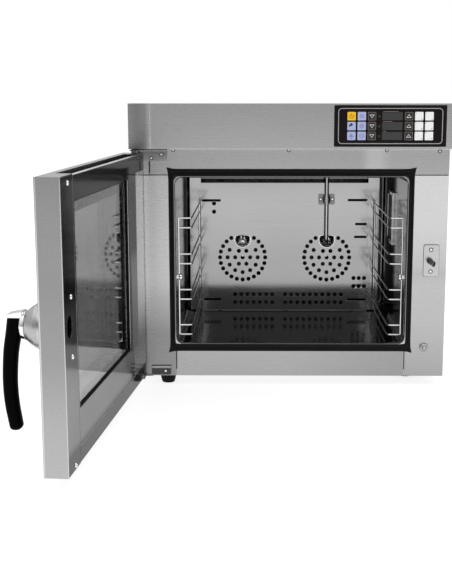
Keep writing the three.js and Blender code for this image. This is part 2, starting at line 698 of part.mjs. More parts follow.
// A hooked cam behind the striker's head: its curved slot lets the neck out as it turns.
function latchCatch() {
  const striker = [STRIKER.x - (HINGE.x - PIVOT.u), STRIKER.z];
  const reach = Math.hypot(striker[0] - HANDLE.u, striker[1] - HANDLE.z);
  const aim = Math.atan2(striker[1] - HANDLE.z, striker[0] - HANDLE.u);
  const half = STRIKER.neckRadius + 1;
  const sector = (inner, outer, from, to) => {
    const shape = new THREE.Shape();
    shape.absarc(HANDLE.u - PIVOT.u, HANDLE.z, outer, from, to, false);
    shape.absarc(HANDLE.u - PIVOT.u, HANDLE.z, inner, to, from, true);
    return shape;
  };
  const [front, back] = [PIVOT.v - 12.4, PIVOT.v - 9];
  return cut(
    join(
      slab(sector(3, reach + half + 4, aim - 0.55, aim + 0.35), [front, back], 6),
      rod(8, alongY, [HANDLE.u - PIVOT.u, front, HANDLE.z], back - front, 14),
    ),
    slab(sector(reach - half, reach + half, aim - 0.28, aim + 0.6), [front - 1, back + 1], 6),
  );
}

addCasing();
addFeet();
addFrontPlates();
addFascia();
addControlPanel();
addCavity();
addBaffle();
addFans();
addSteamPipe();
addRacks();
addLamp();
addFrontFittings();
addDoorShell();
addDoorInnerFrame();
addHandle();

const combiSteamer = new THREE.Group();
combiSteamer.add(oven);
export default combiSteamer;
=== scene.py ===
import json
import math

import bmesh
import bpy
from mathutils import Matrix, Vector

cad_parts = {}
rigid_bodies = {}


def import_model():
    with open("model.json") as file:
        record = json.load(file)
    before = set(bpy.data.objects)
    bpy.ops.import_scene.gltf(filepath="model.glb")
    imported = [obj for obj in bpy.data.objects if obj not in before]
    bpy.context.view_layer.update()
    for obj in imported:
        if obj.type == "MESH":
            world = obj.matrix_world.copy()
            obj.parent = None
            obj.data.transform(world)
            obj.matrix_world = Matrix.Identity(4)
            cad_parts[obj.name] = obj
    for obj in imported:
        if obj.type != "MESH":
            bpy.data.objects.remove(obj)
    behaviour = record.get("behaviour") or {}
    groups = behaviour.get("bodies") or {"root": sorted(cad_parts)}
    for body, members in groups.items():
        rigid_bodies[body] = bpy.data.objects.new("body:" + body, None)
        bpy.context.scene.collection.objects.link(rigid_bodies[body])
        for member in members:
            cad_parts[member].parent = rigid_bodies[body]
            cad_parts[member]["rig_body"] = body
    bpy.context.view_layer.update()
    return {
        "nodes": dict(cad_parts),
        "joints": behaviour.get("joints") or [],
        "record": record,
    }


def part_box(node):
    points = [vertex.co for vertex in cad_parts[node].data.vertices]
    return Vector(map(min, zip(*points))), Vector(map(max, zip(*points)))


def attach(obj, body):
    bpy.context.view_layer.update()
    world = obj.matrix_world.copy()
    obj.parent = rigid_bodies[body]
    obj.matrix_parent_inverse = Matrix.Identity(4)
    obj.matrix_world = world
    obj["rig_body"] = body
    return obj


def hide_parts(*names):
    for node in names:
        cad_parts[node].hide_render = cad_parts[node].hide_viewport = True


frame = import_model()

# ---- Places: millimetres from the front plane and the casing's underside, or across the door ----
MM = 0.001
NODES = frame["nodes"]
SLOT_OF = {part["node"]: part["material_slot"] for part in frame["record"]["subparts"]}
BODY_OF = {name: node["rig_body"] for name, node in NODES.items()}
FRONT_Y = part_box("front_upper_plate")[0].y
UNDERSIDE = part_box("casing_cover")[0].z
OVEN = Matrix.Translation((0, FRONT_Y, UNDERSIDE)) @ Matrix.Scale(MM, 4)
DOOR_JOINT = next(joint for joint in frame["joints"] if joint["name"] == "door_hinge")
DOOR_EDGE_TO_PIN = 11
# In the door's place X runs from the hinge edge, -Y from the inner face outwards, and Z up.
DOOR = (
    Matrix.Translation((DOOR_JOINT["pos_m"][0], DOOR_JOINT["pos_m"][1], UNDERSIDE))
    @ Matrix.Rotation(math.radians(DOOR_JOINT["range_deg"][0]), 4, "Z")
    @ Matrix.Scale(MM, 4)
    @ Matrix.Translation((-DOOR_EDGE_TO_PIN, DOOR_EDGE_TO_PIN, 0))
)
RIGHT, BACK, UP = Vector((1, 0, 0)), Vector((0, 1, 0)), Vector((0, 0, 1))
SCENE = bpy.context.scene


def add_object(name, data):
    made = bpy.data.objects.new(name, data)
    SCENE.collection.objects.link(made)
    return made


def span(node, place=OVEN):
    """Lowest and highest corner of a CAD node, in a place's millimetres."""
    inverse = place.inverted()
    points = [inverse @ vertex.co for vertex in NODES[node].data.vertices]
    return (
        Vector([min(p[i] for p in points) for i in range(3)]),
        Vector([max(p[i] for p in points) for i in range(3)]),
    )


def named(prefix):
    return [node for node in NODES if node.startswith(prefix)]


def middle(node, place=OVEN):
    """The centre of a CAD node's box, in a place's millimetres."""
    return [(low + high) / 2 for low, high in zip(*span(node, place))]


# ---- Camera ----
LENS_MM, SENSOR_MM = 68.72, 36
SHIFT_X, SHIFT_Y = -0.0404, 0.0158
CAMERA_AT = (-0.0621, -2.5702, 0.6119)
DOWN_DEGREES, LEFT_DEGREES = 10.80, 0.51


def add_camera():
    data = bpy.data.cameras.new("camera")
    data.lens, data.sensor_width = LENS_MM, SENSOR_MM
    data.shift_x, data.shift_y = SHIFT_X, SHIFT_Y
    data.clip_start, data.clip_end = 0.05, 60
    camera = add_object("camera", data)
    camera.location = CAMERA_AT
    camera.rotation_euler = (math.radians(90 - DOWN_DEGREES), 0, math.radians(LEFT_DEGREES))
    SCENE.camera = camera


add_camera()


# ---- Materials ----
EVEN, ALONG = (1, 1, 1), (1, 1, 60)
SWELL_SCALE = 3.2
FINISH = {}


class Nodes:
    """A node tree written as calls: add(type, input=value or socket)."""

    def __init__(self, tree):
        self.tree = tree
        self.tree.nodes.clear()

    def add(self, kind, values=(), **settings):
        node = self.tree.nodes.new("ShaderNode" + kind)
        for name, value in settings.items():
            setattr(node, name, value)
        for name, value in dict(values).items():
            if isinstance(value, bpy.types.NodeSocket):
                self.tree.links.new(value, node.inputs[name])
            else:
                node.inputs[name].default_value = value
        return node

    def noise(self, coordinates, stretch, scale, detail=3.0, roughness=0.5):
        mapping = self.add("Mapping", {"Vector": coordinates, "Scale": stretch})
        return self.add("TexNoise", {
            "Vector": mapping.outputs[0], "Scale": scale, "Detail": detail, "Roughness": roughness,
        }).outputs["Fac"]

    def remap(self, value, low, high, to_low, to_high):
        values = {0: value, 1: low, 2: high, 3: to_low, 4: to_high}
        return self.add("MapRange", values).outputs[0]

    def ramp(self, value, stops):
        """Greys at positions along a value."""
        node = self.add("ValToRGB", {0: value})
        stop_list = node.color_ramp.elements
        while len(stop_list) < len(stops):
            stop_list.new(1)
        for element, (position, tone) in zip(stop_list, stops):
            element.position, element.color = position, grey(tone)
        return node.outputs[0]

    def mix(self, factor, first, second, blend="MIX"):
        values = {0: factor, 6: first, 7: second}
        return self.add("Mix", values, data_type="RGBA", blend_type=blend).outputs[2]

    def vector(self, operation, *values):
        return self.add("VectorMath", dict(enumerate(values)), operation=operation).outputs[0]


def grey(value):
    return (value, value, value, 1)


def surface(
    name, dark, light, rough, grain_scale=40, bump=0.0, grain=EVEN, mottle=6,
    waves=0.0, worn=None, fade=None, lean=0.0, **sockets,
):
    """A procedural finish: grain and mottling in colour, roughness and bump, with lightened edges: wear on
    rubber and plastic, a painted highlight on metal.
    The grain runs between the tones dark and light, greys where they are numbers, and rough is
    the roughness range. The tone ramp (axis, from, to, stops) along one of the sheet's own axes in
    metres paints reflections, highlights and shade into its colour. lean turns an upright sheet's
    reflections about the vertical, as a sheet hung slightly askew does."""
    dark, light, worn = [
        grey(tone) if isinstance(tone, float) else tone and (*tone, 1) for tone in (dark, light, worn)
    ]
    material = bpy.data.materials.new(name)
    material.use_nodes = True
    nodes = Nodes(material.node_tree)
    place = nodes.add("TexCoord").outputs["Object"]
    fine_grain = nodes.noise(place, grain, grain_scale, 5, 0.6)
    patches = nodes.noise(place, EVEN, mottle, 4, 0.55)
    blend = nodes.add("Mix", {0: 0.45, 2: fine_grain, 3: patches}, data_type="FLOAT").outputs[0]
    colour = nodes.mix(nodes.remap(blend, 0.35, 0.65, 0, 1), dark, light)
    # Lightened edges: wear on rubber and plastic, a painted highlight on the metal fittings.
    if worn:
        edge = nodes.add("NewGeometry").outputs["Pointiness"]
        colour = nodes.mix(nodes.remap(edge, 0.52, 0.60, 0, 0.7), colour, worn)
    # Painted reflections, highlights and shade: the sheet's colour multiplied by a tone ramp along one of its
    # own axes.
    if fade:
        axis, start, end, stops = fade
        along = nodes.add("SeparateXYZ", {0: place}).outputs[axis]
        tone = nodes.ramp(nodes.remap(along, start, end, 0, 1), stops)
        colour = nodes.mix(1.0, colour, tone, "MULTIPLY")
    shader = nodes.add("BsdfPrincipled", {
        "Base Color": colour, "Roughness": nodes.remap(blend, 0.3, 0.7, *rough),
    })
    for socket, value in sockets.items():
        shader.inputs[socket.replace("_", " ")].default_value = value
    normal = {}
    if lean:
        facing = nodes.add("NewGeometry").outputs["Normal"]
        across = nodes.vector("CROSS_PRODUCT", facing, (0, 0, lean))
        normal = {"Normal": nodes.vector("NORMALIZE", nodes.vector("ADD", facing, across))}
    swell = waves and nodes.noise(place, EVEN, SWELL_SCALE, 1)
    for height, distance in ((swell, waves), (fine_grain, bump)):
        if distance:
            values = {"Height": height, "Distance": distance, "Strength": 1, **normal}
            normal = {"Normal": nodes.add("Bump", values).outputs[0]}
    for socket, value in normal.items():
        nodes.tree.links.new(value, shader.inputs[socket])
    output = nodes.add("OutputMaterial")
    nodes.tree.links.new(shader.outputs[0], output.inputs[0])
    FINISH[name] = material


def metal(*finish, **more):
    surface(*finish, **more, Metallic=1.0)


def ink(name, dark, light, rough=(0.4, 0.5), bump=0.0):
    """A print, a lens or a moulded key."""
    surface(name, dark, light, rough, 500, bump)


def brushed(name, tone, fade=None):
    """Brushed stainless sheet; each sheet takes its own tone, and an optional tone ramp paints reflections,
    highlights and shade along it.
    """
    rough = (0.22, 0.32)
    metal(name, tone - 0.015, tone + 0.015, rough, 16, 0.00001, ALONG, waves=0.0009, fade=fade)


brushed("casing_steel", 0.50)
# Painted reflections, highlights and shade on the fascia and front plates: a darker left end with a painted
# highlight at the fascia's crease, a painted highlight band on the upper plate, the side plates darker
# towards the bottom and the lower plate darker towards the right.
brushed("fascia_steel", 0.56, fade=(
    0, -0.322, -0.272, [(0, 0.74), (0.35, 0.60), (0.68, 0.72), (0.80, 1), (0.90, 1), (1, 0.94)],
))
brushed("upper_plate_steel", 0.62, fade=(
    0, -0.322, 0.322, [(0, 0.77), (0.72, 0.77), (0.75, 0.98), (0.78, 0.98), (0.82, 0.79), (1, 0.77)],
))
brushed("left_plate_steel", 0.64, fade=(
    2, 0.02, 0.48, [(0, 0.44), (0.2, 0.46), (0.45, 0.95), (1, 1)],
))
brushed("right_plate_steel", 0.84, fade=(
    2, 0.02, 0.48, [(0, 0.44), (0.25, 0.55), (0.42, 0.60), (0.47, 0.56), (0.50, 0.62), (0.71, 0.84), (1, 1)],
))
brushed("lower_plate_steel", 0.42, fade=(0, -0.25, 0.23, [(0, 1), (0.5, 0.97), (1, 0.78)]))
# Painted reflections and shade on the door: the skin, the stile and the inner face are lighter and darker in
# bands up their height, and the inner face drops to a fifth of its tone in a dark band below the top.
brushed("door_skin_steel", 0.44, fade=(
    2, 0.02, 0.48, [(0, 1), (0.2, 0.9), (0.4, 0.72), (0.65, 0.68), (1, 0.86)],
))
brushed("door_stile_steel", 0.68, fade=(
    2, 0.02, 0.48, [(0, 0.8), (0.1, 0.6), (0.2, 0.32), (0.36, 0.95), (1, 1)],
))
# Near-white, half-metallic steel that paints the highlight along the door's hinge edge.
surface("painted_highlight_steel", 0.84, 0.94, (0.5, 0.6), 90, Metallic=0.4)
# The lightened edges of boss_steel, bracket_steel and strike_steel are a painted highlight.
metal("boss_steel", 0.40, 0.47, (0.26, 0.36), 90, 0.00001, worn=0.9)
metal("bracket_steel", 0.17, 0.26, (0.22, 0.34), 60, 0.00003, (1, 1, 8), worn=0.6)
surface(
    "door_inner_face", 0.28, 0.34, (0.07, 0.13), 14, 0.00001, ALONG, waves=0.0004,
    fade=(2, 0.02, 0.48, [
        (0, 0.36), (0.07, 0.40), (0.1, 0.9), (0.28, 1), (0.56, 0.8), (0.62, 0.2), (0.85, 0.2),
        (0.93, 0.38), (1, 0.48),
    ]),
    lean=0.04, Metallic=0.88, Specular_Tint=grey(0.6),
)
surface("window_border", 0.004, 0.008, (0.22, 0.34), 120, Specular_IOR_Level=0.12)
metal("strike_steel", 0.42, 0.52, (0.14, 0.26), 40, 0.00002, (1, 8, 1), worn=0.7)
# Dark steel for the fan wheels and the sheet behind the baffle paints the shade behind the perforations.
metal("fan_steel", 0.05, 0.11, (0.32, 0.5), 80, 0.00003)
metal("pipe_steel", 0.42, 0.52, (0.07, 0.14), 60, grain=(1, 1, 4))
# Painted shade: the baffle and the parts in cavity_steel are darker towards the bottom, and the chamber walls
# are darker above the chamber's floor.
metal(
    "cavity_steel", 0.38, 0.43, (0.08, 0.14), 12, 0.00001, ALONG, waves=0.0009,
    fade=(2, 0.09, 0.45, [(0, 0.8), (0.35, 0.8), (0.7, 0.97), (1, 1)]),
)
metal(
    "chamber_steel", 0.46, 0.52, (0.08, 0.14), 12, 0.00001, ALONG, waves=0.0009,
    fade=(2, 0.085, 0.12, [(0, 1), (0.2, 1), (1, 0.46)]),
)
# Near-black steel that paints shade on the lower hinge bracket and the strike pin; its lightened edges are a
# painted highlight.
metal("lower_bracket_steel", 0.02, 0.045, (0.22, 0.34), 60, 0.00003, (1, 1, 8), worn=0.3)
metal("chrome", 0.78, 0.86, (0.04, 0.10), 60)
metal("screw_steel", 0.62, 0.80, (0.12, 0.22), 300, 0.00002)
# Painted shade: near-black rings round the screw heads and round the strike plate.
surface("shade_ring_black", 0.012, 0.03, (0.4, 0.6), 300, 0.00002)
surface(
    "inner_door_glass", 0.90, 0.96, (0.01, 0.04), mottle=9, lean=0.04,
    Transmission_Weight=1.0, IOR=1.5,
)
surface(
    "outer_door_glass", 0.15, 0.19, (0.02, 0.05), mottle=9, lean=0.04,
    Transmission_Weight=1.0, IOR=1.52,
)
surface("lamp_glass", 0.22, 0.30, (0.12, 0.24), mottle=40, Transmission_Weight=0.5, IOR=1.45)
surface(
    "seal_rubber", 0.004, 0.008, (0.50, 0.66), 220, 0.00006, worn=0.016,
    Specular_IOR_Level=0.12,
)
surface(
    "foot_rubber", 0.003, 0.008, (0.6, 0.8), 260, 0.0001, worn=0.02,
    Specular_IOR_Level=0.15,
)
surface(
    "grip_plastic", 0.0006, 0.002, (0.30, 0.42), 420, 0.00005, worn=0.004,
    Specular_IOR_Level=0.025,
)
surface("gland_plastic", 0.015, 0.03, (0.4, 0.55), 200, 0.00005)
surface(
    "panel_black", (0.0075, 0.0045, 0.005), (0.011, 0.007, 0.008), (0.32, 0.44), 700, 0.00002,
    Specular_IOR_Level=0.12,
)
metal("motor_metal", 0.10, 0.18, (0.4, 0.6), 150, 0.0001)
metal(
    "element_metal", (0.09, 0.08, 0.075), (0.20, 0.17, 0.15), (0.35, 0.6), 90, 0.00005,
)
KEY_ROUGH = (0.35, 0.5)
ink("key_yellow", (0.98, 0.58, 0.005), (1.0, 0.66, 0.02), KEY_ROUGH, 0.00002)
ink("key_lavender", (0.44, 0.48, 0.76), (0.52, 0.56, 0.84), KEY_ROUGH, 0.00002)
ink("key_black", 0.012, 0.022, KEY_ROUGH, 0.00002)
ink("key_white", 0.97, 1.0, KEY_ROUGH, 0.00002)
ink("display_black", 0.036, 0.048, (0.12, 0.2))
ink("silver_print", 0.34, 0.42, KEY_ROUGH)
ink("white_print", 0.72, 0.80)
ink("brown_print", (0.22, 0.18, 0.165), (0.27, 0.22, 0.20))
ink("orange_print", (0.50, 0.07, 0.002), (0.58, 0.10, 0.005))
ink("blue_print", (0.11, 0.15, 0.40), (0.15, 0.20, 0.48))
ink("navy_print", (0.01, 0.02, 0.06), (0.015, 0.03, 0.08))
ink("led_lens", 0.02, 0.035, (0.2, 0.3))
FINISH["door_glass"] = FINISH["inner_door_glass"]

for node_name, node_object in NODES.items():
    node_object.data.materials.clear()
    node_object.data.materials.append(FINISH[SLOT_OF[node_name]])


# ---- Shapes ----
WELD = 2e-6
SCREW_HEIGHT, SCREW_TURN = 1.8, 0.4


def polar(x, z, radius, angle):
    return x + radius * math.cos(angle), z + radius * math.sin(angle)


def circle(x, z, radius, count=24):
    return [polar(x, z, radius, 2 * math.pi * i / count) for i in range(count)]


def rounded(x, z, width, height, radius, steps=6):
    """A rounded rectangle's outline about its centre, anticlockwise from its lower right corner."""
    outline = []
    for quarter, (sx, sz) in enumerate([(1, -1), (1, 1), (-1, 1), (-1, -1)]):
        cx, cz = x + sx * (width / 2 - radius), z + sz * (height / 2 - radius)
        for step in range(steps + 1):
            angle = math.pi / 2 * (quarter - 1 + step / steps)
            outline.append(polar(cx, cz, radius, angle))
    return outline


def at_depth(outline, y):
    return [(x, y, z) for x, z in outline]


def frame_towards(at, axis):
    """A matrix that puts +Z along an axis at a point."""
    return Matrix.Translation(at) @ Vector(axis).to_track_quat("Z", "Y").to_matrix().to_4x4()


def bent(points, radius, steps=5):
    """A path whose corners are turned into arcs."""
    path = [Vector(points[0])]
    for before, corner, after in zip(points, points[1:], points[2:]):
        corner = Vector(corner)
        start = corner + (Vector(before) - corner).normalized() * radius
        end = corner + (Vector(after) - corner).normalized() * radius
        for step in range(steps + 1):
            t = step / steps
            path.append(start * (1 - t) ** 2 + corner * 2 * t * (1 - t) + end * t**2)
    path.append(Vector(points[-1]))
    return path


def smooth_path(points, steps=6):
    """A Catmull-Rom curve through the points."""
    points = [Vector(point) for point in points]
    ends = [2 * points[0] - points[1], *points, 2 * points[-1] - points[-2]]
    path = []
    for p0, p1, p2, p3 in zip(ends, ends[1:], ends[2:], ends[3:]):
        for step in range(steps):
            t = step / steps
            path.append(0.5 * (
                2 * p1 + (p2 - p0) * t + (2 * p0 - 5 * p1 + 4 * p2 - p3) * t**2
                + (3 * p1 - p0 - 3 * p2 + p3) * t**3
            ))
    return [*path, points[-1]]


def directions(path):
    """The unit direction of travel at each point of a path."""
    last = len(path) - 1
    return [(path[min(i + 1, last)] - path[max(i - 1, 0)]).normalized() for i in range(last + 1)]


class Part:
    """One piece's geometry, gathered in millimetres."""

    def __init__(self):
        self.bm = bmesh.new()

    def rings(self, loops, caps=True):
        """Skins between loops of equal length; caps closes the ends."""
        rows = [[self.bm.verts.new(point) for point in loop] for loop in loops]
        count = len(rows[0])
        for first, second in zip(rows, rows[1:]):
            for i in range(count):
                j = (i + 1) % count
                self.bm.faces.new((first[i], first[j], second[j], second[i]))
        if caps:
            self.bm.faces.new(list(reversed(rows[0])))
            self.bm.faces.new(rows[-1])
        return self

    def extrude(self, section, stations, axis):
        """A closed section carried along an axis, from one station to the next."""
        loops = []
        for station in stations:
            loop = [Vector(point) for point in section]
            for point in loop:
                point[axis] = station
            loops.append(loop)
        return self.rings(loops)

    def lathe(self, profile, at=(0, 0, 0), axis=UP, sides=36, caps=True):
        """[radius, height] pairs turned about an axis."""
        place = frame_towards(at, axis)
        loops = [
            [place @ Vector((x, y, height)) for x, y in circle(0, 0, radius, sides)]
            for radius, height in profile
        ]
        return self.rings(loops, caps)

    def torus(self, radius, wire, at, axis, sides=48):
        place = frame_towards(at, axis)
        section = circle(radius, 0, wire, 10)
        loops = []
        for x, z in section + section[:1]:
            loops.append([place @ Vector((a, b, z)) for a, b in circle(0, 0, x, sides)])
        return self.rings(loops, caps=False)

    def tube(self, path, radius, sides=12):
        """A round bar along a path, its ends domed."""
        path = [Vector(p) for p in path]
        tangents = directions(path)
        normal = tangents[0].orthogonal().normalized()
        loops = []
        last = len(path) - 1
        for i, (point, tangent) in enumerate(zip(path, tangents)):
            normal = (normal - tangent * normal.dot(tangent)).normalized()
            side = tangent.cross(normal)
            ends = []
            if i == 0:
                ends = [(-0.9, 0.45), (-0.6, 0.8), (0, 1)]
            elif i == last:
                ends = [(0, 1), (0.6, 0.8), (0.9, 0.45)]
            for forward, share in ends or [(0, 1)]:
                centre = point + tangent * forward * radius * 0.6
                loops.append([
                    centre + normal * a * share + side * b * share for a, b in circle(0, 0, radius, sides)
                ])
        return self.rings(loops)

    def plate(self, outline, holes, y0, y1, edge=0.2, place=None):
        """A flat plate in X and Z with holes and softened edges, between two depths."""
        curve = bpy.data.curves.new("outline", "CURVE")
        curve.dimensions, curve.fill_mode = "2D", "BOTH"
        for points in [outline, *holes]:
            spline = curve.splines.new("POLY")
            spline.points.add(len(points) - 1)
            for point, (x, z) in zip(spline.points, points):
                point.co = (x, z, 0, 1)
            spline.use_cyclic_u = True
        curve.extrude = abs(y1 - y0) / 2 - edge
        curve.bevel_depth, curve.bevel_resolution, curve.offset = edge, 1, -edge
        carrier = bpy.data.objects.new("outline", curve)
        mesh = bpy.data.meshes.new_from_object(carrier)
        turn = Matrix(((1, 0, 0, 0), (0, 0, -1, (y0 + y1) / 2), (0, 1, 0, 0), (0, 0, 0, 1)))
        mesh.transform((place or Matrix()) @ turn)
        self.bm.from_mesh(mesh)
        bpy.data.objects.remove(carrier)
        bpy.data.meshes.remove(mesh)
        return self

    def screw(self, at, towards, radius):
        """A pan-head screw with a cross recess; at lies on the surface that it holds."""
        turned = Matrix.Rotation(SCREW_TURN, 4, "Z") @ Matrix.Rotation(math.pi / 2, 4, "X")
        place = frame_towards(at, towards) @ turned
        arm, reach = radius * 0.16, radius * 0.6
        cross = [
            (arm, -reach), (arm, -arm), (reach, -arm), (reach, arm), (arm, arm), (arm, reach),
            (-arm, reach), (-arm, arm), (-reach, arm), (-reach, -arm), (-arm, -arm), (-arm, -reach),
        ]
        self.plate(circle(0, 0, radius, 24), [cross], -SCREW_HEIGHT, 0, 0.35, place)
        shank = circle(0, 0, radius * 0.8, 16)
        return self.rings([
            [place @ Vector((x, y, z)) for x, z in shank] for y in (-SCREW_HEIGHT * 0.3, 0.3)
        ])

    def done(self, name, material, slot="casing_steel", body="oven", replaces=None, angle=32):
        """Turns the geometry into a piece that rides on a body. One that takes a CAD node's place
        rides on that node's body."""
        if replaces:
            slot, body = SLOT_OF[replaces], BODY_OF[replaces]
        place = DOOR if body in ("door", "handle") else OVEN
        bmesh.ops.transform(self.bm, matrix=place, verts=self.bm.verts)
        bmesh.ops.remove_doubles(self.bm, verts=self.bm.verts, dist=WELD)
        bmesh.ops.recalc_face_normals(self.bm, faces=self.bm.faces)
        mesh = bpy.data.meshes.new(name)
        self.bm.to_mesh(mesh)
        self.bm.free()
        return settle(name, mesh, body, material, replaces, angle=angle)


def apply_modifiers(piece):
    name = piece.data.name
    evaluated = piece.evaluated_get(bpy.context.evaluated_depsgraph_get())
    piece.data = bpy.data.meshes.new_from_object(evaluated)
    piece.modifiers.clear()
    piece.data.name = name


def settle(name, mesh, body, material, replaces, bevel=0.0, angle=32):
    piece = add_object(name, mesh)
    if bevel:
        rounding = piece.modifiers.new("edges", "BEVEL")
        rounding.width, rounding.segments = bevel * MM, 2
        rounding.limit_method, rounding.angle_limit = "ANGLE", math.radians(30)
        apply_modifiers(piece)
    piece.data.shade_smooth()
    piece.data.set_sharp_from_angle(angle=math.radians(angle))
    weighting = piece.modifiers.new("normals", "WEIGHTED_NORMAL")
    weighting.weight, weighting.keep_sharp = 100, True
    apply_modifiers(piece)
    piece.data.materials.clear()
    piece.data.materials.append(FINISH[material])
    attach(piece, body)
    if replaces:
        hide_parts(replaces)
    return piece


def refined(node, bevel, material=None, cuts=(), shape=None):
    """A CAD solid with its flat faces made whole and its edges rounded, in the node's stead.
    cuts are X stations in millimetres where the faces are divided, and shape moves a point."""
    bm = bmesh.new()
    bm.from_mesh(NODES[node].data)
    bmesh.ops.remove_doubles(bm, verts=bm.verts, dist=WELD)
    bmesh.ops.dissolve_limit(bm, angle_limit=math.radians(0.3), verts=bm.verts, edges=bm.edges)
    for x in cuts:
        geometry = bm.verts[:] + bm.edges[:] + bm.faces[:]
        bmesh.ops.bisect_plane(bm, geom=geometry, plane_co=OVEN @ Vector((x, 0, 0)), plane_no=RIGHT)
    if shape:
        for vertex in bm.verts:
            vertex.co = OVEN @ shape(OVEN.inverted() @ vertex.co)
    mesh = bpy.data.meshes.new(node)
    bm.to_mesh(mesh)
    bm.free()
    if "custom_normal" in mesh.attributes:
        mesh.attributes.remove(mesh.attributes["custom_normal"])
    slot = SLOT_OF[node]
    return settle(
        node + "_refined", mesh, BODY_OF[node], material or slot, node, bevel,
    )


def add_fixings(name, spots):
    """Pan-head screws on near-black rings that paint the shade round their heads, each spot being (position,
    direction, radius).
    """
    heads, shade_rings = Part(), Part()
    for at, towards, radius in spots:
        at, towards = Vector(at), Vector(towards)
        heads.screw(at + towards * 0.4, towards, radius)
        rim = radius + 1.1
        shade_rings.lathe([(rim, -0.2), (rim, 0.25), (rim - 0.25, 0.45), (radius * 0.7, 0.45)], at, towards, 24)
    heads.done(name + "_screws", "screw_steel")
    shade_rings.done(name + "_washers", "shade_ring_black")


# ---- Casing ----
def fascia_end(point):
    """The fascia's left end is folded back a little beyond its crease."""
    crease, slope = -278.5, 0.085
    if point.x < crease and point.y < -40:
        point.y += (crease - point.x) * slope
    return point


def add_casing():
    refined("casing_cover", 0.6)
    refined("base_tray", 0.5)
    refined("control_fascia", 0.6, "fascia_steel", (-302, -278.5), fascia_end)
    for name in ("upper", "left", "right", "lower"):
        refined(f"front_{name}_plate", 0.5, f"{name}_plate_steel")

    crease = Part()
    crease.tube([(-278.6, -50.0, 475.5), (-278.6, -50.0, 561.5)], 0.9)
    crease.tube([(-240, -50.1, 474.6), (318, -50.1, 474.6)], 0.5, 10)
    crease.done("fascia_folds", "screw_steel")

    corner = span("casing_cover")[1]
    inset, radius = 14, 3.2
    sides, heights = (-1, 1), (110, 250, 390, 530)
    places = [((side * corner.x, y, inset), (side, 0, 0)) for side in sides for y in (70, 230, 390, 550)]
    places += [((side * corner.x, corner.y - inset, z), (side, 0, 0)) for side in sides for z in heights]
    places += [((x, corner.y, z), BACK) for x in (-290, -145, 0, 145, 290) for z in (inset, corner.z - inset)]
    places += [((side * (corner.x - inset), corner.y, z), BACK) for side in sides for z in (150, 280, 410)]
    add_fixings("casing", [(at, towards, radius) for at, towards in places])


def add_rear():
    """The back panel, with a pressed hood over each louvre slot."""
    refined("rear_panel", 0.3)
    hoods = Part()
    back = span("rear_panel")[1].y
    for x in (-150, 150):
        for row in range(9):
            z = 330 + row * 20
            loops = []
            for share, proud in ((-1, 0.0), (-0.97, 2.6), (-0.9, 4.0), (0.9, 4.0), (0.97, 2.6), (1, 0.0)):
                end, foot = x + 84 * share, back - 0.2
                arch = [polar(3.5, 0, 5.5, math.pi * k / 10) for k in range(6)]
                loops.append([
                    *((end, foot + proud * rise / 5.5, z + lift) for lift, rise in arch),
                    (end, foot + proud * 0.82, z + 2.2), (end, back - 0.3, z + 7.6),
                ])
            hoods.rings(loops)
    hoods.done("rear_louvres", "casing_steel")

    at = Vector(middle("cable_gland"))
    at.y = back
    gland = Part()
    gland.lathe([(9, -10), (9, 0), (14.5, 0), (15, 0.8), (15, 2.2), (14.5, 3)], at, BACK)
    gland.lathe([(13.5, 3), (14, 3.6), (14, 9.4), (13.2, 10)], at, BACK, 6)
    dome = [(10.6, 10), (11, 11), (11, 15), (10, 18), (8, 20.4), (6, 21.6), (5, 21.6), (5, 8)]
    gland.lathe(dome, at, BACK)
    gland.done("cable_gland_fitting", "gland_plastic", replaces="cable_gland", angle=25)

    at = Vector(middle("water_inlet"))
    at.y = back
    inlet = Part()
    inlet.lathe([(17, 0), (17.4, 0.6), (17.4, 5.4), (16.8, 6)], at, BACK, 6)
    thread = [(11, -12), (11, 6), (12.2, 7)]
    for turn in range(9):
        thread += [(13, 7.6 + turn * 1.9), (12.0, 8.55 + turn * 1.9)]
    inlet.lathe(thread + [(11.6, 25.4), (11, 26), (7, 26), (6, 25), (6, -6)], at, BACK, 40)
    inlet.done("water_inlet_fitting", "cavity_steel", replaces="water_inlet", angle=25)


def add_feet():
    profile = [
        (5, 1.4), (5, 0.6), (5.6, 0.2), (12, 0.0), (13, 0.8), (13.6, 2.4), (15.2, 9), (16.1, 13.4),
        (16.5, 15), (16.5, 18.4), (15.7, 19.4), (9, 19.6), (9, 20.6), (4, 20.6), (4, 33),
    ]
    for node in named("foot_"):
        at = (*middle(node)[:2], span(node)[0].z)
        foot = Part()
        foot.lathe(profile, at)
        for ridge in (5, 8, 11):
            foot.torus(14.0 + (ridge - 5) * 0.25, 0.5, (at[0], at[1], at[2] + ridge), UP, 36)
        foot.done(node + "_rubber", "foot_rubber", replaces=node, angle=40)


